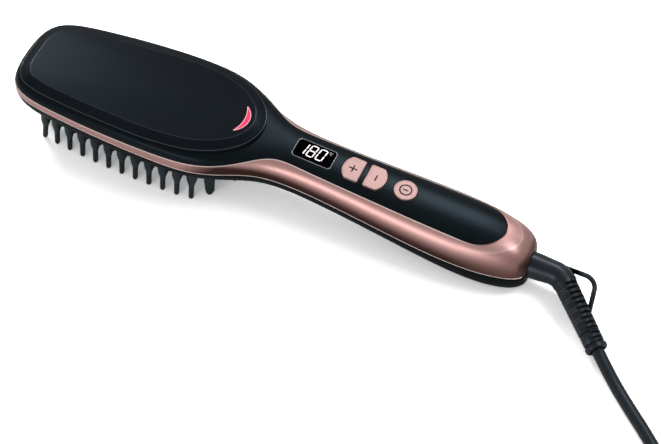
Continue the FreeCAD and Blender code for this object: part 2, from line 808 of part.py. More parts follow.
def axial(profile, origin):
    """A solid turned about the x axis from (x, radius) points."""
    points = [Vector(x, radius, 0) for x, radius in profile]
    face = Part.Face(Part.makePolygon(points + points[:1]))
    solid = face.revolve(Vector(0, 0, 0), Vector(1, 0, 0), 360)
    solid.translate(origin)
    return solid


# ---- Swivel and elbow --------------------------------------------------------------------------
def build_socket(exit_point, room, shells):
    """Bores the end of the shells, and returns the socket that holds the swivel's flange."""
    bore = root_diameter / 2 + swivel_gap
    chamber = flange_diameter / 2 + swivel_gap
    back = -root_depth - swivel_gap
    depth = back - socket_length
    step = -flange_setback - flange_width - swivel_gap
    front = swivel_gap - flange_setback
    inlet = root_diameter / 4
    flange_room = [(front, chamber), (step, chamber), (step, bore)]
    profile = [(depth, 0), (wall, 0), (wall, bore), (front, bore)] + flange_room + [(depth, bore)]
    hole = axial(profile, exit_point)
    profile = [(depth, 0), (0, 0), (0, chamber)] + flange_room[1:]
    hollow = axial(profile + [(back, bore), (back, inlet), (depth, inlet)], exit_point)
    outer_radius = chamber + wall
    outside = axial([(depth + wall, 0), (0, 0), (0, outer_radius), (depth + wall, outer_radius)], exit_point)
    socket = outside.cut(hollow).common(room)
    return {name: shape.cut(hole) for name, shape in shells.items()}, socket


def elbow_frame(exit_point):
    """The elbow is drawn in its own plane: x out of the grip, and the bend towards -y."""
    return Placement(exit_point, Rotation(Vector(1, 0, 0), elbow_roll))


def sleeve_profile(start, end):
    """Half of the tapering sleeve from start to end along x, with its grooves and its collar."""
    body_end = end - collar_length
    pitch = (body_end - start) / (groove_count + 1)
    profile, grooves = [(start, 0), (start, bend_diameter / 2)], []
    profile += [(start + pitch / 2, sleeve_diameter / 2), (body_end, sleeve_end_diameter / 2)]
    collar = collar_diameter / 2
    profile += [(body_end, collar), (end - collar_edge, collar), (end, collar - collar_edge), (end, 0)]
    for index in range(groove_count):
        middle = start + pitch * (index + 1)
        radius = between(sleeve_diameter, sleeve_end_diameter, (index + 1) / (groove_count + 1)) / 2
        low, high = middle - groove_width / 2, middle + groove_width / 2
        deep, wide = radius - groove_depth, radius + groove_depth
        grooves.append(axial([(low, deep), (high, deep), (high, wide), (low, wide)], Vector(0, 0, 0)))
    return profile, grooves


def build_elbow(exit_point):
    root, bend, flange = root_diameter / 2, bend_diameter / 2, flange_diameter / 2
    tangent = elbow_bend_radius * math.tan(math.radians(elbow_turn / 2))
    bend_x = elbow_leg - tangent
    flange_end = -flange_setback
    flange_start = flange_end - flange_width
    profile = [(-root_depth, 0), (-root_depth, root), (flange_start, root), (flange_start, flange)]
    profile += [(flange_end, flange), (flange_end, root), (wall, root), (bend_x, bend), (bend_x, 0)]
    leg = axial(profile, Vector(0, 0, 0))
    ring = Part.Face(Part.Wire(Part.makeCircle(bend, Vector(bend_x, 0, 0), Vector(1, 0, 0))))
    curve = ring.revolve(Vector(bend_x, -elbow_bend_radius, 0), Vector(0, 0, -1), elbow_turn)
    turned = Placement(Vector(elbow_leg, 0, 0), Rotation(Vector(0, 0, 1), -elbow_turn))
    profile, grooves = sleeve_profile(tangent, sleeve_length)
    sleeve = axial(profile, Vector(0, 0, 0))
    rib = box(sleeve_length / 2, 0, -bend, sleeve_length, rib_width, bend_diameter)
    for groove in grooves:
        sleeve = sleeve.cut(groove.cut(rib))
    elbow = fuse([leg, curve, placed(sleeve, turned)])
    frame = elbow_frame(exit_point)
    # The loop leaves the bend's outer side straight on, and turns back into the sleeve.
    far = turned.multVec(Vector(loop_reach * sleeve_length, bend / 2, 0))
    line = [Vector(elbow_leg, loop_side, 0), Vector(far.x - loop_lean, loop_side, 0), far]
    loop = tube(line, loop_diameter, loop_rounding)[0].cut(elbow)
    outside = max(loop.Solids, key=lambda solid: solid.Volume)
    end = frame.multVec(turned.multVec(Vector(sleeve_length, 0, 0)))
    heading = frame.Rotation.multVec(turned.Rotation.multVec(Vector(1, 0, 0)))
    return {"swivel_elbow": placed(elbow, frame), "hanging_loop": placed(outside, frame)}, end, heading


# ---- Cord, coil and plug -----------------------------------------------------------------------
def cord_points(start, heading):
    """Down along the sleeve to the floor, then along the floor."""
    floor_z = cord_diameter / 2
    points = [start, start + heading * ((start.z - floor_z) / -heading.z)]
    for length, angle in cord_runs:
        turn = math.radians(angle)
        points.append(points[-1] + Vector(length * math.cos(turn), length * math.sin(turn), 0))
    return points


def build_coil(centre):
    low, high = coil_radius - coil_width / 2, coil_radius + coil_width / 2
    c, top = coil_corner, coil_height
    profile = [(low + c, 0), (high - c, 0), (high, c), (high, top - c)]
    profile += [(high - c, top), (low + c, top), (low, top - c), (low, c)]
    points = [Vector(r, 0, z) for r, z in profile]
    ring = Part.Face(Part.makePolygon(points + points[:1])).revolve(Vector(0, 0, 0), Vector(0, 0, 1), 360)
    ring.translate(centre)
    return ring


def build_plug(entry):
    """The plug, lying flat: its cord entry, its body and its pins towards x from the entry."""
    neck, half = plug_neck_width / 2, plug_width / 2
    shoulder, end = entry + plug_neck_length + plug_shoulder, entry + plug_neck_length + plug_length
    outline = [(entry, -neck), (entry + plug_neck_length, -neck), (shoulder, -half), (end, -half)]
    outline += [(x, -y) for x, y in reversed(outline)]
    low = -plug_thickness / 2
    points = [Vector(x, y, low) for x, y in outline]
    slab = Part.Face(Part.makePolygon(points + points[:1])).extrude(Vector(0, 0, plug_thickness))
    slim = [(entry, neck), (entry + plug_neck_length, neck), (shoulder, -low), (end, -low)]
    slim += [(x, -z) for x, z in reversed(slim)]
    points = [Vector(x, -half, z) for x, z in slim]
    wedge = Part.Face(Part.makePolygon(points + points[:1])).extrude(Vector(0, plug_width, 0))
    body = slab.common(wedge)
    rear = [edge for edge in body.Edges if edge.BoundBox.XMin > shoulder - seam_gap]
    body = body.makeChamfer(plug_chamfer, [edge for edge in rear if edge.Length > plug_chamfer])
    radius, tip = plug_pin_diameter / 2, end + plug_pin_length
    pin = [(end, 0), (end, radius), (tip - radius, radius), (tip, radius / 2), (tip, 0)]
    pins = [axial(pin, Vector(0, side * plug_pin_spacing / 2, 0)) for side in (1, -1)]
    return body, group(pins)


def build_cord(start, heading):
    points = cord_points(start, heading)
    cord, length, radii = tube(points, cord_diameter)
    ratio = cord.Volume / (length * math.pi * cord_diameter ** 2 / 4)
    print("cord run", round(length, 1), "arc radii", [round(radius, 1) for radius in radii])
    print("cord volume ratio", round(ratio, 4))
    # The cord's own line touches the outermost turn, so the cord runs into the coil sideways.
    last = (points[-1] - points[-2]).normalize()
    outer_radius = coil_radius + coil_width / 2
    turn_radius = outer_radius - cord_diameter / 2
    run_in = math.sqrt(outer_radius ** 2 - turn_radius ** 2) - coil_overlap
    touch = points[-1] + last * run_in
    centre = Vector(touch.x - last.y * turn_radius, touch.y + last.x * turn_radius, 0)
    coil = build_coil(centre)
    # The other end leaves the outermost turn towards y, and ends in the plug beside the coil.
    radius = cord_diameter / 2
    lead = axial([(0, 0), (plug_lead_length, 0), (plug_lead_length, radius), (0, radius)], Vector(0, 0, 0))
    body, pins = build_plug(plug_lead_length)
    leave = centre + Vector(turn_radius, run_in, plug_thickness / 2)
    turned = Placement(leave, Rotation(Vector(0, 0, 1), 90))
    return {
        "cord_tube": cord.cut(coil),
        "cord_coil": coil,
        "plug_lead": placed(lead, turned).cut(coil),
        "plug_body": placed(body, turned),
        "plug_pins": placed(pins, turned),
    }


# ---- Wiring ------------------------------------------------------------------------------------
def build_leads(rest, crest, exit_point, board):
    middle = rest.multiply(on_crest(crest, (board_start_x + board_end_x) / 2))
    board_z = -stem_end - switch_slack - switch_height - board_thickness / 2
    half = (board_end_x - board_start_x) / 2
    heater_z = field_level + field_thickness + heater_plate + heater_height / 2
    heater_end = between(bristle_first_x, bristle_last_x, 0.5) + heater_length / 2
    ring_end = -root_depth - swivel_gap - socket_length + wall
    ring_start = ring_end - slip_length
    slip_radius = slip_diameter / 2
    power, heat = [], []
    for side in (1, -1):
        start = exit_point + Vector(ring_start, side * lead_spread, 0)
        end = middle.multVec(Vector(half, side * lead_spread, board_z))
        knee = Vector(between(start.x, end.x, 0.4), start.y, start.z)
        power.append(tube([start, knee, end], lead_diameter, sides=lead_side_count)[0])
        start = middle.multVec(Vector(-half, side * lead_spread, board_z))
        end = Vector(heater_end, side * heater_y, heater_z)
        high = Vector(between(start.x, end.x, 0.25), start.y, start.z)
        over = Vector(between(start.x, end.x, 0.75), end.y, end.z)
        heat.append(tube([start, high, over, end], lead_diameter, sides=lead_side_count)[0])
    profile = [(ring_start, 0), (ring_end, 0), (ring_end, slip_radius), (ring_start, slip_radius)]
    return {
        "power_leads": group(power).cut(board),
        "heater_leads": group(heat).cut(board),
        "slip_ring": axial(profile, exit_point),
    }


def build():
    outline = outline_curve()
    outer, cavity, cover, trim, bottom = build_shells(outline)
    crest = crest_spline()
    nodes = build_panel(outline)
    controls, pockets, places = build_controls(outer, crest)
    nodes.update(controls)
    nodes.update(build_board(crest, places))
    cover, trim, bottom, screws = add_bosses(outer, cover.cut(pockets), trim.cut(pockets), bottom)
    nodes.update(top_cover=cover, trim_frame=trim, bottom_cover=bottom, cover_screws=screws)
    # From here on everything is in the rest frame.
    rest = rest_placement(bottom)
    nodes = {name: placed(shape, rest) for name, shape in nodes.items()}
    line = rest_outline(rest)
    mouth_top = between(tip_floor, head_side, mouth_share)
    mouth_end = field_end_x + seam_gap
    mouth = plate(line, field_inset - seam_gap, field_shoulder_x, mouth_end, -head_top, mouth_top)
    nodes["bottom_cover"] = nodes["bottom_cover"].cut(mouth)
    nodes.update(build_bristles(line))
    nodes.update(build_heated_field(line))
    fasten_head(line, rest, nodes)
    exit_point = rest.multVec(Vector(end_x, 0, (end_top + end_floor) / 2))
    shells = {name: nodes[name] for name in ("top_cover", "trim_frame", "bottom_cover")}
    room = placed(skin_solid(wall + seam_gap), rest)
    shells, nodes["swivel_socket"] = build_socket(exit_point, room, shells)
    nodes.update(shells)
    elbow, end, heading = build_elbow(exit_point)
    nodes.update(elbow)
    nodes.update(build_cord(end, heading))
    nodes.update(build_leads(rest, crest, exit_point, nodes["control_board"]))
    # The origin goes under the middle of the body's length.
    ends = [point.x for name in ("trim_frame", "bottom_cover") for point in nodes[name].tessellate(0.1)[0]]
    shift = Vector(-(min(ends) + max(ends)) / 2, 0, 0)
    for shape in nodes.values():
        shape.translate(shift)
    print("swivel at", exit_point + shift, "cord leaves at", end + shift)
    for name, at in zip(("minus", "plus", "power"), places):
        at = rest.multiply(at)
        print(name, "button at", at.Base + shift, "pressed along", at.Rotation.multVec(Vector(0, 0, -1)))
    return nodes


os.makedirs("parts", exist_ok=True)
for name, shape in build().items():
    shape.exportStep("parts/" + name + ".step")
    print(name, len(shape.Solids), "solids", round(shape.Volume, 1))
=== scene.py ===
import json
import math
import bpy
from mathutils import Matrix, Vector

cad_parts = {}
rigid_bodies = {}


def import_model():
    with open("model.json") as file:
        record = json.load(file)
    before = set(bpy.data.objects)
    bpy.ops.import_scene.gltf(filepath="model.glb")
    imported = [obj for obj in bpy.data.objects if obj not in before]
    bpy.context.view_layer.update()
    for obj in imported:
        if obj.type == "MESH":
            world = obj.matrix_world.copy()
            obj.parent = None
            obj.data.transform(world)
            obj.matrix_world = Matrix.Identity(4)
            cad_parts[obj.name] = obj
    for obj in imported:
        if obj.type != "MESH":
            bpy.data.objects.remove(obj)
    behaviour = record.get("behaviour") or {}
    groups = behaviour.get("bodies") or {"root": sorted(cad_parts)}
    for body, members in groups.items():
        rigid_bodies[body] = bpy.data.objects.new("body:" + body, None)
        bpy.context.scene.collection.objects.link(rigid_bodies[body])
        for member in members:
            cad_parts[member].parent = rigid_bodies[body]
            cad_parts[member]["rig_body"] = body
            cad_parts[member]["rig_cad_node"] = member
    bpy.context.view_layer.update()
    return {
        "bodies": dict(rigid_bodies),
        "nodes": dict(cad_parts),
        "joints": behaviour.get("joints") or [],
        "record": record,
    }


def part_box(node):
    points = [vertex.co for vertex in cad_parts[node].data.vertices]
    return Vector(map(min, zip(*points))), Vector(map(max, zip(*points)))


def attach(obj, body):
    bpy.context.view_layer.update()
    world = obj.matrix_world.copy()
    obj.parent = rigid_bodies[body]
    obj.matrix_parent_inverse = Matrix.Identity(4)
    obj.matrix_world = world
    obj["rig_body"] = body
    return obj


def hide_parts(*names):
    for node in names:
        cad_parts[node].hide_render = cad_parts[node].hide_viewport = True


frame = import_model()
nodes = frame["nodes"]
mm = 0.001


# Camera, where the picture was taken from
camera = {
    "location": (0.26694, -0.58711, 0.84516),
    "angles": (36.271, -1.646, 23.910),  # degrees about x, y, z
    "lens": 108.93,
    "sensor": 36.0,
}


def placeCamera():
    data = bpy.data.cameras.new("view")
    data.lens = camera["lens"]
    data.sensor_width = camera["sensor"]
    eye = bpy.data.objects.new("view", data)
    eye.location = camera["location"]
    eye.rotation_euler = [math.radians(angle) for angle in camera["angles"]]
    bpy.context.scene.collection.objects.link(eye)
    bpy.context.scene.camera = eye


placeCamera()
print("camera placed")


def addObject(name, data):
    piece = bpy.data.objects.new(name, data)
    bpy.context.scene.collection.objects.link(piece)
    return piece


# Mains cord: along the floor into a wound coil, and from its top turn down to the plug
cordParts = {
    "diameter": 6.6 * mm,
    "length": 1.85,
    "sides": 4,
    "route": [  # from the sleeve's end, in metres
        (0.191462, -0.029313, 0.005977),
        (0.202924, -0.040376, 0.003300),
        (0.215357, -0.051970, 0.003300),
        (0.230542, -0.064986, 0.003300),
        (0.246590, -0.080756, 0.003300),
        (0.261453, -0.094139, 0.003300),
    ],
    "runIn": 14.0 * mm,  # from the route's end to where the cord touches the first turn
    "turnPoints": 16,
    "turns": [  # radius and level of each turn: three below, two between, two on top
        (42.2 * mm, 3.4 * mm),
        (35.4 * mm, 3.4 * mm),
        (28.6 * mm, 3.4 * mm),
        (32.0 * mm, 9.2 * mm),
        (38.8 * mm, 9.2 * mm),
        (35.4 * mm, 14.9 * mm),
        (42.0 * mm, 14.9 * mm),
    ],
    "changeShare": 0.3,  # the part of each turn in which it moves over to the next place
    "tailTop": ((30, 0.0), (18, -2.0)),  # mm back from the plug, and above the top turn's level
    "tailPlug": ((9, 0.8), (-2, 0.0)),  # the same, above the plug's own level
    "splineOrder": 3, "splineSteps": 6,
}


def easedShare(share):
    share = min(max(share, 0), 1)
    return share * share * (3 - 2 * share)


def coilPoints(centre, startAngle):
    count = cordParts["turnPoints"]
    turns = cordParts["turns"]
    tight = math.cos(math.pi / count)  # the spline cuts inside its points by this much
    changePart = cordParts["changeShare"]
    points = []
    angle, index = startAngle, 0
    while angle < 2 * math.pi * len(turns):  # until the last turn heads along y
        turn, step = divmod(index, count)
        here, after = turns[min(turn, len(turns) - 1)], turns[min(turn + 1, len(turns) - 1)]
        change = easedShare((step / count - 1 + changePart) / changePart)
        radius = (here[0] + (after[0] - here[0]) * change) / tight
        level = here[1] + (after[1] - here[1]) * change
        points.append(centre + Vector((radius * math.cos(angle), radius * math.sin(angle), level)))
        index += 1
        angle = startAngle + 2 * math.pi * index / count
    return points


def buildCord():
    route = [Vector(point) for point in cordParts["route"]]
    heading = (route[-1] - route[-2]).normalized()
    firstRadius = cordParts["turns"][0][0]
    touch = route[-1] + heading * cordParts["runIn"]
    centre = Vector((touch.x - heading.y * firstRadius, touch.y + heading.x * firstRadius, 0))
    startAngle = math.atan2(-heading.x, heading.y)
    points = route + coilPoints(centre, startAngle)
    plugLow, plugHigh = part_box("plug_body")
    plugEntry = Vector(((plugLow.x + plugHigh.x) / 2, plugLow.y, (plugLow.z + plugHigh.z) / 2))
    for start, tail in ((cordParts["turns"][-1][1], cordParts["tailTop"]), (plugEntry.z, cordParts["tailPlug"])):
        points += [Vector((plugEntry.x, plugEntry.y - back * mm, start + up * mm)) for back, up in tail]
    curve = bpy.data.curves.new("mainsCord", "CURVE")
    curve.dimensions = "3D"
    curve.bevel_depth = 1.0  # a point's radius times this is half the cord's thickness
    curve.bevel_resolution = cordParts["sides"]
    curve.use_fill_caps = True
    spline = curve.splines.new("NURBS")
    spline.points.add(len(points) - 1)
    for place, point in zip(spline.points, points):
        place.co = (*point, 1)
        place.radius = cordParts["diameter"] / 2
    spline.order_u = cordParts["splineOrder"]
    spline.use_endpoint_u = True
    spline.resolution_u = cordParts["splineSteps"]
    return addObject("mainsCord", curve)


mainsCord = buildCord()
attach(mainsCord, "cord_swivel")
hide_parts("cord_tube", "cord_coil", "plug_lead")
print("cord wound")


# Helpers
def deselectAll():
    if bpy.context.object and bpy.context.object.mode != "OBJECT":
        bpy.ops.object.mode_set(mode="OBJECT")
    bpy.ops.object.select_all(action="DESELECT")


def pickOnly(piece):
    deselectAll()
    piece.select_set(True)
    bpy.context.view_layer.objects.active = piece


def applyModifiers(piece):
    pickOnly(piece)
    for modifier in list(piece.modifiers):
        bpy.ops.object.modifier_apply(modifier=modifier.name)


def bodyOf(nodeName):
    for name, members in frame["record"]["behaviour"]["bodies"].items():
        if nodeName in members:
            return name


def slotOf(nodeName):
    for row in frame["record"]["subparts"]:
        if row["node"] == nodeName:
            return row["material_slot"]


def finish(piece, nodeNames, material=None, smoothAngle=30, body=None, slot=None):
    pickOnly(piece)
    bpy.ops.object.shade_smooth_by_angle(angle=math.radians(smoothAngle))
    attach(piece, body or bodyOf(nodeNames[0]))
    if nodeNames:
        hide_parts(*nodeNames)
    piece.data.materials.clear()
    piece.data.materials.append(material or finishes[slot or slotOf(nodeNames[0])])
    return piece


def newMesh(name, points, faces):
    data = bpy.data.meshes.new(name)
    data.from_pydata(points, [], faces)
    return addObject(name, data)


def openAll(piece):
    pickOnly(piece)
    bpy.ops.object.mode_set(mode="EDIT")
    bpy.ops.mesh.select_all(action="SELECT")


def closeTurnedOut():
    bpy.ops.mesh.select_all(action="SELECT")
    bpy.ops.mesh.normals_make_consistent(inside=False)
    bpy.ops.object.mode_set(mode="OBJECT")


def mergeAndTurnOut(piece, distance=0.001 * mm):
    openAll(piece)
    bpy.ops.mesh.remove_doubles(threshold=distance)
    closeTurnedOut()


def sideFaces(start, count):
    return [(start + place, start + (place + 1) % count, start + count + (place + 1) % count, start + count + place)
            for place in range(count)]


def endFaces(low, high, count):
    return [tuple(range(low, low + count))[::-1], tuple(range(high, high + count))]


def loftPiece(name, rows, capped=True):
    # A skin over rings of the same count, closed at both ends unless it says not
    count, last = len(rows[0]), len(rows) - 1
    faces = [face for index in range(last) for face in sideFaces(index * count, count)]
    if capped:
        faces += endFaces(0, last * count, count)
    piece = newMesh(name, [point for row in rows for point in row], faces)
    mergeAndTurnOut(piece)
    return piece


def sweptTube(name, points, radius, closed, sides=8):
    # A thin round line along points
    rows = []
    count = len(points)
    for index, point in enumerate(points):
        before = points[(index - 1) % count] if closed else points[max(index - 1, 0)]
        after = points[(index + 1) % count] if closed else points[min(index + 1, count - 1)]
        along = (after - before).normalized()
        across = along.cross(Vector((0, 0, 1))).normalized()
        up = across.cross(along)
        rows.append([point + radius * mm * (math.cos(turn) * across + math.sin(turn) * up)
                     for turn in (2 * math.pi * side / sides for side in range(sides))])
    return loftPiece(name, rows + rows[:1] if closed else rows, capped=not closed)


def cutAway(piece, cutters):
    for cutter in cutters:
        cut = piece.modifiers.new("cut", "BOOLEAN")
        cut.operation = "DIFFERENCE"
        cut.solver = "EXACT"
        cut.object = cutter
        applyModifiers(piece)
        bpy.data.objects.remove(cutter)


def dressedCopy(nodeName, pieceName, smoothAngle, bevel=0.0, segments=2):
    piece = nodes[nodeName].copy()
    piece.data = nodes[nodeName].data.copy()
    piece.name = pieceName
    piece.data.name = pieceName
    piece.parent = None
    piece.matrix_world = Matrix.Identity(4)
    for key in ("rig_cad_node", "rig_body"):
        if key in piece:
            del piece[key]
    bpy.context.scene.collection.objects.link(piece)
    mergeAndTurnOut(piece, distance=0.002 * mm)
    if bevel:
        edge = piece.modifiers.new("softEdges", "BEVEL")
        edge.width = bevel
        edge.segments = segments
        edge.limit_method = "ANGLE"
        edge.angle_limit = math.radians(30)
        applyModifiers(piece)
    return finish(piece, [nodeName], smoothAngle=smoothAngle)


# Materials
bumpDepth, grainDetail = 0.02 * mm, 3.0
tintStops = (0.35, 0.65)  # where in the noise a finish goes from its dark tone to its light one
toneSpread = 0.15
glowLook = {"roughness": 0.4, "grain": (400, 0.05)}
white, coolShine, rubberShine = (1.0, 1.0, 1.0), (0.52, 0.78, 1.0), (0.72, 0.86, 1.0)


def setInput(tree, socket, value):
    # The value is a number, a colour or place, or another node's output
    if isinstance(value, bpy.types.NodeSocket):
        tree.links.new(value, socket)
    else:
        socket.default_value = (*value, 1) if socket.type == "RGBA" else value


def addNode(tree, kind, inputs=None, **settings):
    node = tree.nodes.new("ShaderNode" + kind)
    for name, value in settings.items():
        setattr(node, name, value)
    for place, value in (inputs or {}).items():
        setInput(tree, node.inputs[place], value)
    return node


def newMaterial(name, color, roughness, metallic=0.0, others=None):
    material = bpy.data.materials.new(name)
    material.use_nodes = True
    tree = material.node_tree
    shader = tree.nodes["Principled BSDF"]
    values = {"Base Color": color, "Roughness": roughness, "Metallic": metallic, **(others or {})}
    for place, value in values.items():
        setInput(tree, shader.inputs[place], value)
    return material, tree, shader


def ownPlace(tree):
    return addNode(tree, "TexCoord").outputs["Object"]


def axesOf(tree, vector):
    return addNode(tree, "SeparateXYZ", {"Vector": vector}).outputs


def mathNode(tree, operation, first, second):
    return addNode(tree, "Math", {0: first, 1: second}, operation=operation).outputs["Value"]


def spreadNode(tree, value, fromLow, fromHigh, toLow, toHigh):
    return addNode(tree, "MapRange", {"Value": value, "From Min": fromLow, "From Max": fromHigh,
                                      "To Min": toLow, "To Max": toHigh}).outputs["Result"]


def mixNode(tree, share, first, second, blend="MIX"):
    # Inputs 0, 6 and 7 and output 2 are the ones that mix colours
    return addNode(tree, "Mix", {0: share, 6: first, 7: second}, data_type="RGBA", blend_type=blend).outputs[2]


def rampNode(tree, value, stops, ease=False):
    node = addNode(tree, "ValToRGB", {"Fac": value})
    ramp = node.color_ramp
    if ease:
        ramp.interpolation = "EASE"
    while len(ramp.elements) < len(stops):
        ramp.elements.new(0.5)
    for element, (position, color) in zip(ramp.elements, stops):
        element.position = position
        element.color = (*color, 1)
    return node.outputs["Color"]


def addBump(tree, shader, height, strength):
    bump = addNode(tree, "Bump", {"Height": height, "Strength": strength, "Distance": bumpDepth})
    tree.links.new(bump.outputs["Normal"], shader.inputs["Normal"])


def addGrain(tree, shader, place, scale, strength):
    noise = addNode(tree, "TexNoise", {"Vector": place, "Scale": scale, "Detail": grainDetail}).outputs["Fac"]
    addBump(tree, shader, noise, strength)
    return noise


def addTint(tree, shader, noise, tones):
    tree.links.new(rampNode(tree, noise, list(zip(tintStops, tones))), shader.inputs["Base Color"])


def plainFinish(name, color, roughness, metallic=0.0, scale=700, strength=0.1, shine=0.5, tint=white, tones=None):
    # Without tones of its own, a finish goes a little darker and lighter than its colour
    others = {"Specular IOR Level": shine, "Specular Tint": tint}
    material, tree, shader = newMaterial(name, color, roughness, metallic, others)
    noise = addGrain(tree, shader, ownPlace(tree), scale, strength)
    addTint(tree, shader, noise, tones or [
        tuple(min(value * (1 + change), 1) for value in color) for change in (-toneSpread, toneSpread)])
    return material


def glowing(name, color, strength, shine=0.5):
    others = {"Specular IOR Level": shine, "Emission Color": color, "Emission Strength": strength}
    material, tree, shader = newMaterial(name, color, glowLook["roughness"], others=others)
    addGrain(tree, shader, ownPlace(tree), *glowLook["grain"])
    return material


def satinBlack(name, shine):
    return plainFinish(name, (0.003, 0.004, 0.005), 0.33, 0.0, 900, 0.08, shine, coolShine,
                       [(0.0025, 0.0035, 0.0042), (0.0035, 0.0048, 0.0056)])


roseParts = {
    # high is the rose where faces look up, low is painted shade where faces look down
    "high": (0.565, 0.322, 0.300), "low": (0.045, 0.013, 0.009), "roughness": 0.40, "metallic": 0.82,
    "grain": (1600, 0.05),
    "paintedShadeFacing": (0.05, 0.48),  # painted shade: how far up a face looks where the colour is darkest, and where it is fully light
    "headPaintedLightShift": 0.45, "headPaintedLightX": (-0.040, -0.018),  # painted light: the band on the head is coloured as if it faced further up, so it stays light
    "endPaintedShade": 0.60, "endPaintedShadeFacing": (0.50, 1.0),  # painted shade: the end cap darkens toward the cord
    # painted shade on the grip's far shoulder: its colour, where along the grip, and which facings it darkens
    "shoulder": (0.20, 0.14, 0.13), "shoulderX": (0.112, 0.134), "farPaintedShadeStops": (0.54, 0.66, 0.77, 0.86),
    "flatX": 0.1125, "flatReach": 0.0250, "flatHalf": 0.0156,  # the painted light flat about the inlay's end, in metres
    # painted highlight on the crease line round that flat, and painted shade on the cap outside it
    "flatBegins": (0.1065, 0.1245), "paintedCreaseHighlight": (0.84, 0.56, 0.52), "paintedCapShade": (0.24, 0.12, 0.105),
    "lineStops": ((0.30, 0.0), (0.46, 0.16), (0.485, 0.2), (0.495, 0.6), (0.503, 0.6), (0.52, 0.0)),
    "shadeStops": (0.505, 0.66), "shadeMost": 0.55,
    # the trim's upper edge: colour of its painted highlight, then plain rose about the inlay's end
    "edgePaintedHighlight": (0.95, 0.78, 0.72), "edgePlain": (0.42, 0.22, 0.19), "edgeX": (0.106, 0.122),
    "edgeRoughness": 0.32, "edgeMetallic": 0.9,
}


def paintedEndLightAndShade(tree, where, color):
    # Painted light about the inlay's end: a lighter flat edged by a fine painted highlight line, with painted shade on
    # the cap outside it; the line is colour, not form
    r = roseParts
    ahead = mathNode(tree, "MAXIMUM", mathNode(tree, "SUBTRACT", where["X"], r["flatX"]), 0.0)
    beside = mathNode(tree, "ABSOLUTE", where["Y"], 0.0)
    parts = [mathNode(tree, "POWER", mathNode(tree, "DIVIDE", value, reach), 2.0)
             for value, reach in ((ahead, r["flatReach"]), (beside, r["flatHalf"]))]
    # How far out a place lies, which is 0.5 at the flat's edge
    out = mathNode(tree, "MULTIPLY", mathNode(tree, "POWER", mathNode(tree, "ADD", *parts), 0.5), 0.5)
    begins = spreadNode(tree, where["X"], *r["flatBegins"], 0.0, 1.0)
    line = rampNode(tree, out, [(stop, (level,) * 3) for stop, level in r["lineStops"]])
    shade = spreadNode(tree, out, *r["shadeStops"], 0.0, r["shadeMost"])
    color = mixNode(tree, mathNode(tree, "MULTIPLY", shade, begins), color, r["paintedCapShade"])
    return mixNode(tree, mathNode(tree, "MULTIPLY", line, begins), color, r["paintedCreaseHighlight"])


def roseMetal():
    r = roseParts
    # Rose metal with painted shade by facing, on the end cap and on the far shoulder, and painted light round the
    # inlay's end
    material, tree, shader = newMaterial("roseMetal", r["high"], r["roughness"], r["metallic"])
    place = ownPlace(tree)
    addGrain(tree, shader, place, *r["grain"])
    where, normal = axesOf(tree, place), axesOf(tree, addNode(tree, "NewGeometry").outputs["Normal"])
    # Painted light: the head's band is coloured as if it faced further up
    shift = spreadNode(tree, where["X"], *r["headPaintedLightX"], r["headPaintedLightShift"], 0.0)
    # Painted shade: faces turned toward the cord go darker
    fall = spreadNode(tree, normal["X"], *r["endPaintedShadeFacing"], 0.0, r["endPaintedShade"])
    upness = mathNode(tree, "SUBTRACT", mathNode(tree, "ADD", normal["Z"], shift), fall)
    light = spreadNode(tree, upness, *r["paintedShadeFacing"], 0.0, 1.0)
    # Painted shade: faces looking down are coloured toward the low rose
    color = rampNode(tree, light, [(0.0, r["low"]), (1.0, r["high"])], True)
    # Painted shade: the grip's far shoulder is a little darker
    along = spreadNode(tree, where["X"], *r["shoulderX"], 1.0, 0.0)
    farPaintedShade = rampNode(tree, normal["Y"], list(zip(r["farPaintedShadeStops"], (white, r["shoulder"], r["shoulder"], white))))
    both = mixNode(tree, along, color, farPaintedShade, "MULTIPLY")
    # Painted light, a painted highlight line and painted shade about the inlay's end
    tree.links.new(paintedEndLightAndShade(tree, where, both), shader.inputs["Base Color"])
    return material


def edgeShine():
    # The trim's upper edge coloured bright as a painted highlight, plain rose about the inlay's end
    r = roseParts
    material, tree, shader = newMaterial("trimEdge", r["edgePaintedHighlight"], r["edgeRoughness"], r["edgeMetallic"])
    place = ownPlace(tree)
    addGrain(tree, shader, place, *r["grain"])
    share = spreadNode(tree, axesOf(tree, place)["X"], *r["edgeX"], 0.0, 1.0)
    color = rampNode(tree, share, [(0.0, r["edgePaintedHighlight"]), (1.0, r["edgePlain"])])
    tree.links.new(color, shader.inputs["Base Color"])
    return material


keyBrush = {
    "tones": [(0.23, 0.138, 0.128), (0.38, 0.250, 0.236)], "roughness": 0.42, "metallic": 0.8,
    "rays": 26.0, "detail": 4.0, "strength": 0.12,
}


def brushedRose(name, centre):
    # Brushed in rays from a key's middle
    k = keyBrush
    material, tree, shader = newMaterial(name, k["tones"][1], k["roughness"], k["metallic"])
    centred = addNode(tree, "Mapping", {"Vector": ownPlace(tree), "Location": (-centre.x, -centre.y, 0)})
    split = axesOf(tree, centred.outputs["Vector"])
    turn = mathNode(tree, "ARCTAN2", split["Y"], split["X"])
    inputs = {"W": turn, "Scale": k["rays"], "Detail": k["detail"]}
    rays = addNode(tree, "TexNoise", inputs, noise_dimensions="1D").outputs["Fac"]
    addBump(tree, shader, rays, k["strength"])
    addTint(tree, shader, rays, k["tones"])
    return material


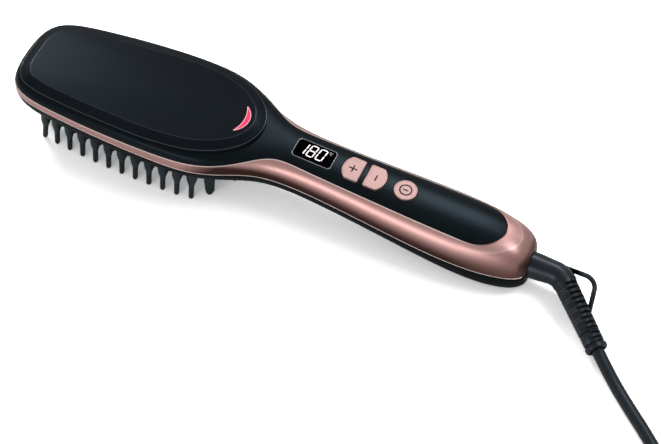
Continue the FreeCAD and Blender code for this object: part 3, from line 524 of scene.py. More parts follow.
finishes = {
    "shell_black": satinBlack("satinBlack", 0.13),
    "rose_metal": roseMetal(),
    "panel_gloss": plainFinish("glossPanel", (0.004, 0.005, 0.007), 0.30, 0.0, 25, 0.02, 0.10, coolShine,
                               [(0.004, 0.005, 0.007), (0.005, 0.0065, 0.0085)]),
    "light_red": glowing("lampRed", (0.50, 0.028, 0.078), 0.95, 0.08),
    "circuit_green": plainFinish("circuitGreen", (0.02, 0.11, 0.05), 0.45, scale=300),
    "key_rose": plainFinish("keyRose", (0.78, 0.48, 0.42), 0.34, 1.0),
    "bezel_grey": plainFinish("bezelGrey", (0.22, 0.25, 0.27), 0.38, 0.6),
    "window_dark": plainFinish("windowDark", (0.0012, 0.0008, 0.001), 0.25, shine=0.0),
    "component_black": plainFinish("componentBlack", (0.02, 0.02, 0.022), 0.5),
    "capacitor_yellow": plainFinish("capacitorYellow", (0.6, 0.42, 0.05), 0.45),
    "screw_steel": plainFinish("screwSteel", (0.5, 0.5, 0.51), 0.3, 1.0, scale=1200),
    "pin_black": plainFinish("pinBlack", (0.004, 0.005, 0.006), 0.32, shine=0.80, tint=coolShine),
    "heater_aluminium": plainFinish("heaterCoat", (0.06, 0.06, 0.065), 0.42, 0.5),
    "heater_ceramic": plainFinish("heaterCeramic", (0.6, 0.57, 0.5), 0.6),
    "mica_amber": plainFinish("micaAmber", (0.4, 0.28, 0.12), 0.4),
    "contact_brass": plainFinish("contactPlating", (0.65, 0.6, 0.5), 0.25, 1.0),
    "lead_insulation": plainFinish("leadInsulation", (0.6, 0.6, 0.56), 0.5),
    "cord_rubber": plainFinish("cordRubber", (0.0025, 0.0032, 0.004), 0.38, 0.0, 1500, shine=0.52, tint=rubberShine),
}
for nodeName, node in nodes.items():
    node.data.materials.clear()
    node.data.materials.append(finishes[slotOf(nodeName)])
mainsCord.data.materials.append(finishes["cord_rubber"])
print("finishes made")


# The body's skin: the same sections and partings as the solids, in millimetres before it is stood up
body = {
    "tip": -144.0, "neck": 2.0, "grip": 105.0, "end": 145.0,
    "headHalf": 34.0, "neckHalf": 15.6, "gripHalf": 19.8, "endHalf": 8.5,
    "headTop": 42.0, "neckTop": 37.6, "gripTop": 28.0, "endTop": 15.0,
    "headSide": 33.5, "neckSide": 27.5, "gripSide": 10.0, "endSide": 5.5,
    "tipFloor": 22.5, "neckFloor": 14.0, "gripFloor": -3.5, "endFloor": -3.5,
    "wall": 2.0, "gap": 0.15, "inlayDrop": 2.9, "inlayEnd": 130.4, "inlayRound": 17.0, "partingEnd": 131.0,
    "lean": 1.8, "leanX": -60.0, "slide": -0.026, "lift": 0.881,
    "headSection": [(0, 1), (0.45, 1), (0.86, 0.98), (0.99, 0.62), (1, 0),
                    (1, -0.45), (0.93, -0.9), (0.55, -1), (0, -1)],
    "gripSection": [(0, 1), (0.36, 1), (0.80, 0.86), (1.0, 0.42), (1.03, -0.05),
                    (1.0, -0.50), (0.80, -0.90), (0.40, -1), (0, -1)],
    "bore": 7.35, "boreDepth": 3.0,
    "rows": 230, "columns": 26, "tipCrowd": 1.25, "endCrowd": 1.8, "capRows": 70, "capCrowd": 1.5,
    # Sections on the head: shares of its length, half width and spine, how far crest and widest level lie lower,
    # the share of the floor's fall, and 0 for the head's form to 1 for the grip's
    "headRows": [
        (0, 0, 0.23, 0, 0, 0, 0), (0, 0.40, 0.25, 0, 0, 0, 0), (0.03, 0.77, 0.29, 0, 0, 0, 0),
        (0.20, 0.885, 0.35, 0, 0, 0.12, 0), (0.40, 0.97, 0.45, 0, 0, 0.30, 0), (0.61, 1, 0.60, 0, 0.5, 0.55, 0),
        (0.77, 0.97, 0.75, 1, 1, 0.76, 0.1), (0.885, 0.765, 0.87, 2, 2, 0.85, 0.5),
    ],
    # Sections between neck and grip: shares of the way for place, half width, crest, widest level and floor
    "neckRows": [(0.25, 0, 0.26, 0.28, 0.21), (0.64, 0.57, 0.69, 0.66, 0.54)],
    # Sections toward the cord: shares of the way for place and spine, share of the grip's half width, then the
    # crest's share of its fall and drop in mm, the widest level's share, and the floor's drop in mm
    "endRows": [(0.62, 0.54, 0.89, 0, 1.8, 0.78, 4.5), (0.97, 0.9, 0.66, 0.40, 0, 1, 2.5)],
    # Points of the two partings, as shares of the head or the grip and of a height, or in mm
    "upperHead": [(-0.11, 0.365), (0.1, 0.27), (0.37, 0.2), (0.61, 0.106), (0.77, 0.012), (0.89, 0.047)],
    "upperGrip": [(0.18, 0.72), (0.47, 0.93), (0.76, 1.0), (0.95, 1.0)],
    "upperEnd": [(-18, 1.32), (-9, 1.6), (0, 1.3), (3, 0)],
    "lowerHead": [(-0.11, 0.1), (0.1, 0.155), (0.37, 0.236), (0.61, 0.427), (0.78, 0.59), (0.93, 0.61)],
    "lowerGrip": [(0.06, -2.5), (0.25, -1.6), (0.66, -0.5), (1.1, 0.7)], "lowerEnd": (3, 1.5),
}


def between(start, end, share):
    return start + (end - start) * share


def bodyStations():
    # Each is x, half width, x of the spine, crest, widest level, floor, 0 for head to 1 for grip
    b = body

    def span(start, end, share):
        return between(b[start], b[end], share)

    stations = [
        (span("tip", "neck", place), width * b["headHalf"], span("tip", "neck", spine), b["headTop"] - lower,
         b["headSide"] - down, span("tipFloor", "neckFloor", fall), form)
        for place, width, spine, lower, down, fall, form in b["headRows"]]
    stations.append((b["neck"], b["neckHalf"] + 1, b["neck"], b["neckTop"], b["neckSide"], b["neckFloor"], 1))
    for place, width, crest, side, floor in b["neckRows"]:
        x = span("neck", "grip", place)
        stations.append((x, span("neckHalf", "gripHalf", width), x, span("neckTop", "gripTop", crest),
                         span("neckSide", "gripSide", side), span("neckFloor", "gripFloor", floor), 1))
    stations.append((b["grip"], b["gripHalf"], b["grip"], b["gripTop"], b["gripSide"], b["gripFloor"], 1))
    stations += [
        (span("grip", "end", place), width * b["gripHalf"], span("grip", "end", spine),
         span("gripTop", "endTop", crest) - lower, span("gripSide", "endSide", side), b["gripFloor"] - deeper, 1)
        for place, spine, width, crest, lower, side, deeper in b["endRows"]]
    return stations + [(b["end"], b["endHalf"], b["end"], b["endTop"], b["endSide"], b["endFloor"], 1)]


def splineWeights(count, share):
    spans = count - 3
    knots = [0.0] * 3 + [index / spans for index in range(spans + 1)] + [1.0] * 3
    span = min(int(share * spans), spans - 1) + 3
    weights = [1.0]
    for degree in range(1, 4):
        raised = [0.0] * (degree + 1)
        for index, weight in enumerate(weights):
            low = knots[span - degree + 1 + index]
            high = knots[span + 1 + index]
            part = (share - low) / (high - low)
            raised[index] += weight * (1 - part)
            raised[index + 1] += weight * part
        weights = raised
    return span - 3, weights


def splinePoint(points, share):
    first, weights = splineWeights(len(points), share)
    return [sum(weight * points[first + index][axis] for index, weight in enumerate(weights))
            for axis in range(len(points[0]))]


def sectionPoles(station):
    x, half, spine, crest, level, floor, grip = station
    poles = []
    for (headReach, headLift), (gripReach, gripLift) in zip(body["headSection"], body["gripSection"]):
        reach, lift = between(headReach, gripReach, grip), between(headLift, gripLift, grip)
        z = level + lift * (crest - level if lift > 0 else level - floor)
        poles.append((spine + reach * (x - spine), reach * half, z))
    return poles


skinLines = list(zip(*(sectionPoles(station) for station in bodyStations())))  # each pole's way along the body


def skinRow(along):
    return [splinePoint(line, along) for line in skinLines]


def stood(point):
    lean = math.radians(body["lean"])
    x, y, z = point[0] - body["leanX"], point[1], point[2]
    return Vector((math.cos(lean) * x - math.sin(lean) * z + body["leanX"] + body["slide"], y,
                   math.sin(lean) * x + math.cos(lean) * z + body["lift"])) * mm


def partingPoints(head, limit, neck, grip, scale, level):
    # Over the head by shares of a height, then what is given at the neck, and along the grip beside a level of its own
    b = body
    points = [(between(b["tip"], b["neck"], share), between(b["headSide"], b[limit], part)) for share, part in b[head]]
    return points + neck + [
        (between(b["neck"], b["grip"], share), between(b["neck" + level], b["grip" + level], share) + scale * part)
        for share, part in b[grip]]


def upperParting():
    b = body
    neck = [(b["neck"] + b["wall"], b["neckTop"] - b["wall"] / 2)]
    return partingPoints("upperHead", "headTop", neck, "upperGrip", -b["inlayDrop"], "Top") + [
        (b["partingEnd"] + on, b["gripTop"] - drop * b["inlayDrop"]) for on, drop in b["upperEnd"]]


def lowerParting():
    on, rise = body["lowerEnd"]
    end = (body["end"] + on, body["endSide"] + rise)
    return partingPoints("lowerHead", "tipFloor", [], "lowerGrip", 1.0, "Side") + [end]


def traced(points, count=900):
    return [splinePoint(points, index / count) for index in range(count + 1)]


# Each parting's line, and a level that stands for it past its end
upperLine, lowerLine = (traced(upperParting()), 1000.0), (traced(lowerParting()), -1000.0)


def levelAt(line, x):
    trace, beyond = line
    if x >= trace[-1][0]:
        return beyond
    low, high = 0, len(trace) - 1
    while high - low > 1:
        middle = (low + high) // 2
        low, high = (middle, high) if trace[middle][0] <= x else (low, middle)
    (x0, z0), (x1, z1) = trace[low], trace[high]
    return between(z0, z1, (x - x0) / (x1 - x0))


def lastShare(holds, low, high, steps=40):
    # The last share at which something holds that holds at first and later doesn't
    for _ in range(steps):
        middle = (low + high) / 2
        low, high = (middle, high) if holds(middle) else (low, middle)
    return low


def partedAt(row, line, gap):
    # How far down a row its parting lies: by level, and about the inlay's end by a round outline in plan
    def above(share):
        x, y, z = splinePoint(row, share)
        if line is upperLine and x > roundFrom and endHalf:
            reach = 1 - ((x - roundFrom) / (body["inlayRound"] - gap)) ** 2
            return (endHalf - gap) * math.sqrt(reach) - y if reach > 0 else -1
        return z - (levelAt(line, x) + gap)

    lowest = 0.62  # both partings lie above this share of a section
    return 0.0 if above(0.0) <= 0 else lastShare(lambda share: above(share) > 0, 0.0, lowest, 30)


def halfWidthAt(x):
    # Half the inlay's width where its parting passes a place along the body
    before, first, apart = None, 0.6, 0.002
    for step in range(200):
        row = skinRow(first + apart * step)
        here = splinePoint(row, partedAt(row, upperLine, 0.0))
        if here[0] >= x:
            return between(before[1], here[1], (x - before[0]) / (here[0] - before[0]))
        before = here


roundFrom, endHalf = body["inlayEnd"] - body["inlayRound"], 0.0  # the half width is found without the round end
endHalf = halfWidthAt(roundFrom)
inlayEnd = lastShare(lambda share: splinePoint(skinRow(share), 0.0)[0] < body["inlayEnd"], 0.5, 0.99)


def rowShares(last, endCrowd=False):
    # Rows lie closer together at the tip, and where asked at their end too
    parts = [(index / body["rows"]) ** body["tipCrowd"] for index in range(body["rows"] + 1)]
    if endCrowd:
        parts = [1 - (1 - part) ** body["endCrowd"] for part in parts]
    return [last * part for part in parts]


def columnPoints(row, upper, lower):
    # A row's points between two partings, or from its crest or to its floor where there is none
    columns = body["columns"]
    low, high = partedAt(row, *upper) if upper else 0.0, partedAt(row, *lower) if lower else 1.0
    return [splinePoint(row, between(low, high, column / columns)) for column in range(columns + 1)]


def skinPiece(name, shares, upper, lower):
    columns = body["columns"]
    rows = [columnPoints(skinRow(along), upper, lower) for along in shares]
    if lower is not coverEdge:  # the cover ends before the cord's end of the body
        rows += endCapRows(rows[-1])
    points, faces = [], []
    for side in (1, -1):
        start = len(points)
        points += [stood((x, side * y, z)) for row in rows for x, y, z in row]
        for index in range(len(rows) - 1):
            for column in range(columns):
                a = start + index * (columns + 1) + column
                loop = (a, a + 1, a + columns + 2, a + columns + 1)
                faces.append(loop if side > 0 else loop[::-1])
    piece = newMesh(name, points, faces)
    mergeAndTurnOut(piece, distance=0.004 * mm)
    return piece


def giveWall(piece, thickness):
    # An open sheet's outside is where its normals point away from the body's middle level
    data, middle, steepest = piece.data, 0.025, 0.8
    outward = sum((face.normal.z if face.center.z > middle else -face.normal.z) * face.area
                  for face in data.polygons if abs(face.normal.z) > steepest)
    if outward < 0:
        data.flip_normals()
    wall = piece.modifiers.new("wall", "SOLIDIFY")
    wall.thickness = thickness
    wall.offset = -1
    wall.use_even_offset = False
    applyModifiers(piece)


# Outlines seen from above, for the panel and what lies under it
def shareAt(line, x):
    return lastShare(lambda share: splinePoint(line, share)[0] < x, 0.0, 1.0)


def outlinePoint(x, inset, line):
    share, near = shareAt(line, x), 0.001
    before, after = splinePoint(line, max(share - near, 0)), splinePoint(line, min(share + near, 1))
    along, out = after[0] - before[0], after[1] - before[1]
    length = math.hypot(along, out)
    x, y = splinePoint(line, share)
    return x + inset * out / length, y - inset * along / length


paddle = {
    "shares": (0.02, 0.08, 0.19, 0.38, 0.66), "angles": (0, 25, 48, 70),  # along its sides, and round its end
    "points": 160,
}
panelLine = [(station[0], station[1]) for station in bodyStations()]


def paddleRing(line, inset, shoulderX, endX, tip=body["tip"]):
    length = shoulderX - tip
    side = [outlinePoint(tip + share * length, inset, line) for share in paddle["shares"]]
    shoulderY = outlinePoint(shoulderX, inset, line)[1]
    for angle in paddle["angles"]:
        turn = math.radians(angle)
        side.append((between(shoulderX, endX, math.sin(turn)), shoulderY * math.cos(turn)))
    ring = [(tip + inset, 0.0)] + side + [(endX, 0.0)] + [(x, -y) for x, y in reversed(side)]
    return roundedRing(ring, paddle["points"])


def roundedRing(ring, count):
    total = len(ring)
    smooth = []
    lengths = [math.dist(ring[index], ring[(index + 1) % total]) for index in range(total)]
    whole = sum(lengths)
    for step in range(count):
        target = whole * step / count
        index = 0
        while target > lengths[index]:
            target -= lengths[index]
            index += 1
        share = target / lengths[index]
        p0, p1, p2, p3 = (Vector(ring[(index + offset) % total]) for offset in (-1, 0, 1, 2))
        d0, d1, d2 = ((b - a).length for a, b in ((p0, p1), (p1, p2), (p2, p3)))
        m1 = ((p1 - p0) / d0 - (p2 - p0) / (d0 + d1) + (p2 - p1) / d1) * d1
        m2 = ((p2 - p1) / d1 - (p3 - p1) / (d1 + d2) + (p3 - p2) / d2) * d1
        t, t2, t3 = share, share ** 2, share ** 3
        smooth.append((2 * t3 - 3 * t2 + 1) * p1 + (t3 - 2 * t2 + t) * m1 + (3 * t2 - 2 * t3) * p2 + (t3 - t2) * m2)
    return [(point.x, point.y) for point in smooth]


def ringPrism(name, ring, low, high, place=stood):
    return loftPiece(name, [[place((x, y, z)) for x, y in ring] for z in (low, high)])


def framed(frame):
    return lambda point: frame @ (Vector(point) * mm)


inPlace = framed(Matrix.Identity(4))

panel = {
    "inset": 3.4, "shoulder": -52.0, "end": -4.6, "seat": 38.4, "edge": 40.8, "top": 42.8, "bevel": 5.5,
    "rimRound": 0.35, "rimStep": 0.3, "plateauRound": 0.5, "plateauDrops": (0.18, 0.03),
    "lensX": -12.8, "lensHalf": 8.6, "lensSagitta": 4.7, "lensWidth": 2.5, "lensRise": 0.05, "lensBed": 1.0,
}


def panelRing(inset, level):
    end = panel["end"] - (inset - panel["inset"])
    return [stood((x, y, level)) for x, y in paddleRing(panelLine, inset, panel["shoulder"], end)]


def buildPanel():
    p = panel
    inner, step = p["inset"] + p["bevel"], p["rimStep"] * p["rimRound"]
    return loftPiece("headPanel", [panelRing(inset, level) for inset, level in (
        (p["inset"], p["seat"]), (p["inset"], p["edge"] - p["rimRound"]), (p["inset"] + step, p["edge"] - step),
        (p["inset"] + p["rimRound"], p["edge"]), (inner - p["plateauRound"], p["top"] - p["plateauDrops"][0]),
        (inner, p["top"] - p["plateauDrops"][1]), (inner + p["plateauRound"], p["top"]),
    )])


def crescentRing(grow, count=40):
    p = panel
    tip, front, back = p["lensHalf"] + grow, p["lensX"] + grow, p["lensX"] - p["lensWidth"] - grow
    root = p["lensX"] - p["lensSagitta"] - grow

    def arc(bulge):
        rise = bulge - root
        radius = (tip ** 2 + rise ** 2) / (2 * rise)
        reach = math.asin(tip / radius)
        return [(bulge - radius + radius * math.cos(reach * share), radius * math.sin(reach * share))
                for share in (-1 + 2 * index / count for index in range(count + 1))]

    return arc(front) + arc(back)[::-1][1:-1]


def endCapRows(row):
    # Past the last section the skin turns in to the swivel's bore and runs into it
    middle = (body["endTop"] + body["endFloor"]) / 2
    rows = []
    for back in (0.0, body["boreDepth"]):
        ring = []
        for _, y, z in row:
            reach = math.hypot(y, z - middle)
            ring.append((body["end"] - back, y / reach * body["bore"], middle + (z - middle) / reach * body["bore"]))
        rows.append(ring)
    return rows


coverEdge, trimEdges = (upperLine, 0.0), ((upperLine, -body["gap"]), (lowerLine, body["gap"]))


def buildShells():
    inlayShares, count = rowShares(inlayEnd, True), body["capRows"]
    # The trim's rows are crowded about the inlay's end, where the parting runs across them
    capShares = [inlayEnd + (1 - inlayEnd) * (index / count) ** body["capCrowd"] for index in range(count + 1)]
    trimShares = sorted(set(inlayShares + capShares))
    pieces = [skinPiece("topCover", inlayShares, None, coverEdge), skinPiece("trimFrame", trimShares, *trimEdges),
              skinPiece("bottomCover", rowShares(1.0), (lowerLine, 0.0), None)]
    for piece in pieces:
        giveWall(piece, body["wall"] * mm)
    return pieces


def seamPoints(edge, shares):
    # Down one side of the seam and back up the other
    side = [splinePoint(row, partedAt(row, *edge)) for row in map(skinRow, shares)]
    return [stood((x, y, z)) for x, y, z in reversed(side)] + [stood((x, -y, z)) for x, y, z in side[1:]]


coverPiece, trimPiece, bottomPiece = buildShells()
print("skins made")


# Crest: the display and the keys are laid on it
crestLine = [(station[2], station[3]) for station in bodyStations()]


def crestFrame(x):
    share, near = shareAt(crestLine, x), 0.001
    here, after = splinePoint(crestLine, share), splinePoint(crestLine, share + near)
    slope = math.atan2(after[1] - here[1], after[0] - here[0]) + math.radians(body["lean"])
    return Matrix.Translation(stood((here[0], 0, here[1]))) @ Matrix.Rotation(-slope, 4, "Y")


keys = {
    "padsX": 52.2, "padLength": 10.9, "padWidth": 14.6, "arcRise": 3.4, "corner": 1.1, "padsGap": 2.6,
    "powerX": 75.0, "powerDiameter": 12.6, "proud": 0.6, "bevel": 0.35, "gap": 0.3, "foot": -1.7,
    "dish": 0.10, "rim": 0.35,
    "inkDepth": 0.12, "plusSpan": 4.6, "minusSpan": 3.9, "stroke": 0.74, "symbolAt": 0.47,
    "ringRadius": 3.1, "barSpan": 3.1,
    "cornerSteps": 6, "arcSteps": 24, "discSteps": 64, "ringSteps": 48,
}
padsFrame, powerFrame = crestFrame(keys["padsX"]), crestFrame(keys["powerX"])
minusFrame = padsFrame @ Matrix.Translation((keys["padsGap"] / 2 * mm, 0, 0))
plusFrame = padsFrame @ Matrix.Rotation(math.pi, 4, "Z") @ Matrix.Translation((keys["padsGap"] / 2 * mm, 0, 0))


def arcPoints(x, y, radius, start, end, count):
    turns = [math.radians(between(start, end, index / count)) for index in range(count + 1)]
    return [(x + radius * math.cos(turn), y + radius * math.sin(turn)) for turn in turns]


def padRing(grow):
    k = keys
    radius, reach, half = k["corner"] + grow, k["padLength"] + grow, k["padWidth"] / 2 + grow
    big = (half ** 2 + k["arcRise"] ** 2) / (2 * k["arcRise"])
    middle = reach - big
    corner = middle + math.sqrt((big - radius) ** 2 - (half - radius) ** 2)
    alpha = math.degrees(math.atan2(half - radius, corner - middle))
    steps = k["cornerSteps"]
    ring = arcPoints(radius - grow, radius - half, radius, 180, 270, steps)
    ring += arcPoints(corner, radius - half, radius, 270, 360 - alpha, steps)
    ring += arcPoints(middle, 0, big, -alpha, alpha, k["arcSteps"])[1:-1]
    ring += arcPoints(corner, half - radius, radius, alpha, 90, steps)
    return ring + arcPoints(radius - grow, half - radius, radius, 90, 180, steps)


def discRing(grow):
    return arcPoints(0, 0, keys["powerDiameter"] / 2 + grow, 0, 360, keys["discSteps"])[:-1]


def keyPiece(name, ring, place):
    # The key's outline raised to its edge, bevelled, and dished a little inside a narrow rim
    k = keys
    piece = newMesh(name, [Vector((x, y, k["foot"])) * mm for x, y in ring], [tuple(range(len(ring)))])
    openAll(piece)
    rise = (k["proud"] - k["bevel"] - k["foot"]) * mm
    bpy.ops.mesh.extrude_region_move(TRANSFORM_OT_translate={"value": (0, 0, rise)})
    for inward, up in ((k["bevel"], k["bevel"]), (k["rim"], 0), (k["dish"], -k["dish"])):
        bpy.ops.mesh.inset(thickness=inward * mm, depth=up * mm)
    closeTurnedOut()
    piece.data.transform(place)
    return piece


def inkPiece(name, outlines, level, depth, place):
    # Closed flat shapes, each raised from one outline
    points, faces = [], []
    for ring in outlines:
        start, count = len(points), len(ring)
        points += [Vector((x, y, z)) * mm for z in (level, level + depth) for x, y in ring]
        faces += endFaces(start, start + count, count) + sideFaces(start, count)
    piece = newMesh(name, points, faces)
    piece.data.transform(place)
    mergeAndTurnOut(piece)
    return piece


def strokeRing(x, y, length, width, turn=0.0):
    # A bar with round ends about a middle point
    half, radius = length / 2 - width / 2, width / 2
    steps = keys["cornerSteps"]
    ring = arcPoints(half, 0, radius, -90, 90, steps) + arcPoints(-half, 0, radius, 90, 270, steps)
    cosine, sine = math.cos(math.radians(turn)), math.sin(math.radians(turn))
    return [(x + px * cosine - py * sine, y + px * sine + py * cosine) for px, py in ring]


def plusRing(span, stroke):
    a, b = span / 2, stroke / 2
    return [(a, -b), (a, b), (b, b), (b, a), (-b, a), (-b, b), (-a, b), (-a, -b), (-b, -b), (-b, -a), (b, -a), (b, -b)]


def arcStrokes(x, y, radius, width, start, end, count):
    # A curved stroke as short boxes, so each is a closed outline
    inner = arcPoints(x, y, radius - width / 2, start, end, count)
    outer = arcPoints(x, y, radius + width / 2, start, end, count)
    return [[outer[index], outer[index + 1], inner[index + 1], inner[index]] for index in range(count)]


def buildKeys():
    k = keys
    level = k["proud"] - k["dish"] - k["inkDepth"] / 2
    middleX = k["padLength"] * k["symbolAt"]
    bar = [strokeRing(middleX, 0, k["minusSpan"], k["stroke"], 90)]
    plus = [[(x + middleX, y) for x, y in plusRing(k["plusSpan"], k["stroke"])]]
    power = arcStrokes(0, 0, k["ringRadius"], k["stroke"], 0, 360, k["ringSteps"])
    power.append(strokeRing(0, 0, k["barSpan"], k["stroke"]))
    for name, nodeName, ring, place, x, outlines in (
            ("minusKey", "minus_button", padRing, minusFrame, middleX, bar),
            ("plusKey", "plus_button", padRing, plusFrame, middleX, plus),
            ("powerKey", "power_button", discRing, powerFrame, 0, power)):
        piece = keyPiece(name, ring(0), place)
        centre = framed(place)((x, 0, 0))
        finish(piece, [nodeName], material=brushedRose(name + "Finish", centre), smoothAngle=25)
        ink = inkPiece(name + "Symbol", outlines, level, k["inkDepth"], place)
        finish(ink, [], material=symbolInk, body=bodyOf(nodeName), slot="key_rose")


display = {
    "x": 24.4, "length": 22.0, "width": 12.3, "chamfer": 1.2, "bezel": 0.42, "bezelRise": 0.10, "foot": -1.6,
    "edgeSteps": 12, "glassShares": (1.0, 0.9, 0.75, 0.6, 0.45, 0.3, 0.15, 0.02), "glassLevel": -0.02, "castFrom": 6,
    "digitHeight": 8.0, "digitWidth": 4.05, "digitPitch": 5.1, "stroke": 0.62, "gapBetween": 0.15, "slant": 9.0,
    "thickness": 0.05, "digits": "180", "startX": -6.7, "digitRise": 0.4,
    "degree": (6.55, 4.0, 0.30), "letter": (7.6, 3.2, 0.70), "fineStroke": 0.26,  # place and radius
    "degreeArc": (0, 360, 16), "letterArc": (50, 310, 14),  # from, to, steps
}
screenFrame = crestFrame(display["x"])


def chamferedRing(grow, steps=1):
    d = display
    x, y, c = d["length"] / 2 + grow, d["width"] / 2 + grow, d["chamfer"]
    corners = [(c - x, -y), (x - c, -y), (x, c - y), (x, y - c)]
    corners += [(-px, -py) for px, py in corners]
    return [(between(x0, x1, step / steps), between(y0, y1, step / steps))
            for (x0, y0), (x1, y1) in zip(corners, corners[1:] + corners[:1]) for step in range(steps)]


def segmentRings(digit, x):
    # The lit bars of one seven-bar digit, pointed at both ends
    d = display
    width, stroke = d["digitWidth"], d["stroke"]
    half, across, side = d["digitHeight"] / 2 - stroke / 2, width / 2 - stroke / 2, stroke / 2
    bars = {
        "a": (0, half, 0), "g": (0, 0, 0), "d": (0, -half, 0), "b": (across, half / 2, 90),
        "c": (across, -half / 2, 90), "f": (-across, half / 2, 90), "e": (-across, -half / 2, 90),
    }
    rings = []
    for name in {"0": "abcdef", "1": "bc", "8": "abcdefg"}[digit]:
        middleX, middleY, turn = bars[name]
        reach = (half if turn else width - stroke) / 2 - d["gapBetween"]
        ring = [(reach, 0), (reach - side, side), (side - reach, side)]
        ring += [(-px, -py) for px, py in ring]
        if turn:
            ring = [(-py, px) for px, py in ring]
        rings.append([(x + middleX + px, middleY + py) for px, py in ring])
    return rings


def onSkin(skin, x, y, lift):
    # A place on a skin under a point of the screen's frame, along the frame's own upward line
    up = screenFrame.to_3x3() @ Vector((0, 0, 1))
    above = framed(screenFrame)((x, y, display["castFrom"]))
    hit, point, _, _ = skin.ray_cast(above, -up)
    return (point if hit else framed(screenFrame)((x, y, 0))) + up * lift * mm


def buildDisplay(skin):
    d = display

    def laidRing(ring, lift):
        return [onSkin(skin, x, y, lift) for x, y in ring]

    def edgeRing(share):
        return chamferedRing(-share * d["bezel"], d["edgeSteps"])

    inner = edgeRing(1)
    foot = [[framed(screenFrame)((x, y, d["foot"])) for x, y in ring] for ring in (edgeRing(0), inner)]
    edge = [laidRing(edgeRing(share), rise * d["bezelRise"]) for share, rise in ((0, 0), (0.3, 1), (0.7, 1), (1, 0))]
    finish(loftPiece("displayBezel", [foot[0]] + edge + [foot[1], foot[0]], capped=False), ["display_bezel"])
    rings = [[(x * share, y * share) for x, y in inner] for share in d["glassShares"]]
    glass = loftPiece("displayGlass", [foot[1]] + [laidRing(ring, d["glassLevel"]) for ring in rings])
    finish(glass, ["display_window"])
    digits = []
    for index, digit in enumerate(d["digits"]):
        digits += [[(x, y + d["digitRise"]) for x, y in ring]
                   for ring in segmentRings(digit, d["startX"] + d["digitPitch"] * index)]
    sign = [box for part in ("degree", "letter") for box in arcStrokes(*d[part], d["fineStroke"], *d[part + "Arc"])]
    lean = math.tan(math.radians(d["slant"]))
    for name, rings, material in (("displayDigits", digits, litWhite), ("displaySign", sign, dimWhite)):
        rings = [[(x + y * lean, y) for x, y in ring] for ring in rings]
        piece = inkPiece(name, rings, 0, d["thickness"], Matrix.Identity(4))
        for vertex in piece.data.vertices:
            vertex.co = onSkin(skin, *(vertex.co / mm))
        finish(piece, [], material=material, body=bodyOf("display_window"), slot="window_dark")


symbolInk = plainFinish("symbolInk", (0.030, 0.010, 0.008), 0.6, shine=0.1)
litWhite = glowing("litWhite", (0.80, 0.75, 0.74), 0.80)
dimWhite = glowing("dimWhite", (0.20, 0.19, 0.21), 0.8)
# Painted highlight: the fine lines round the panel and its plateau are lighter than the panel
rimPaintedHighlight = plainFinish("rimPaintedHighlight", (0.035, 0.045, 0.055), 0.25)
# Painted highlight: the line along the trim's lower edge is coloured pale
seamPaintedHighlight = plainFinish("seamPaintedHighlight", (0.85, 0.72, 0.68), 0.35, 0.9)
lensEdge = glowing("lensEdge", (0.75, 0.34, 0.40), 0.55, 0.1)

recessRing = paddleRing(panelLine, panel["inset"] - body["gap"], panel["shoulder"], panel["end"] + body["gap"])
deep = 2 * body["wall"]
buildDisplay(coverPiece)
cutAway(coverPiece, [ringPrism("recess", recessRing, panel["seat"], 2 * body["headTop"])] + [
    ringPrism(name, ring, -deep, deep, framed(place)) for name, ring, place in (
        ("minusPocket", padRing(keys["gap"]), minusFrame), ("plusPocket", padRing(keys["gap"]), plusFrame),
        ("powerPocket", discRing(keys["gap"]), powerFrame), ("screenPocket", chamferedRing(body["gap"]), screenFrame))])
panelPiece = buildPanel()
cutAway(panelPiece, [
    ringPrism("lensPocket", crescentRing(body["gap"]), panel["seat"] + panel["lensBed"], 2 * panel["top"])])
lensPiece = ringPrism("crescentLamp", crescentRing(0.0), panel["edge"] - body["gap"], panel["top"] + panel["lensRise"])

# What opens downward: the mouth for the heating plate, and the seats of two screws
mouthLine = [(stood((x, 0, side)).x / mm, half) for x, half, _, _, side, _, _ in bodyStations()]
mouth = {"inset": 3.05, "shoulder": -45.026, "end": -12.876, "top": 28.55, "low": -5.0}
sinks = {
    "sites": ((5.47, 16.04), (106.96, 1.96)), "cut": (-4, 3), "radius": 2.8, "cupRadius": 3.25, "low": 0.8,
    "high": 3.8, "hole": 1.1, "base": 1.2, "sides": 32,
}


def sinkRing(x, radius):
    return [(x + px, py) for px, py in arcPoints(0, 0, radius, 0, 360, sinks["sides"])[:-1]]


def cupPiece(name, x, level):
    # The sunk seat of a screw: a thin cup that opens downward
    s = sinks
    low, high, top = level + s["low"], level + s["high"], level + s["high"] + s["base"]
    return loftPiece(name, [[inPlace((px, py, z)) for px, py in sinkRing(x, radius)] for radius, z in (
        (s["radius"], low), (s["radius"], high), (s["hole"], high), (s["hole"], top), (s["cupRadius"], top),
        (s["cupRadius"], low), (s["radius"], low))], capped=False)


mouthRing = paddleRing(mouthLine, mouth["inset"], mouth["shoulder"], mouth["end"], mouthLine[0][0])
cutAway(bottomPiece, [ringPrism("mouth", mouthRing, mouth["low"], mouth["top"], inPlace)] + [
    ringPrism("sink", sinkRing(x, sinks["radius"]), *(level + step for step in sinks["cut"]), inPlace)
    for x, level in sinks["sites"]])
for index, (x, level) in enumerate(sinks["sites"]):
    cup = cupPiece("screwSeat%d" % (index + 1), x, level)
    finish(cup, [], body=bodyOf("bottom_cover"), slot="shell_black")

finish(coverPiece, ["top_cover"])
finish(trimPiece, ["trim_frame"])
finish(bottomPiece, ["bottom_cover"], material=satinBlack("bottomBlack", 0.06))
finish(panelPiece, ["head_panel"])
finish(lensPiece, ["light_lens"])
buildKeys()
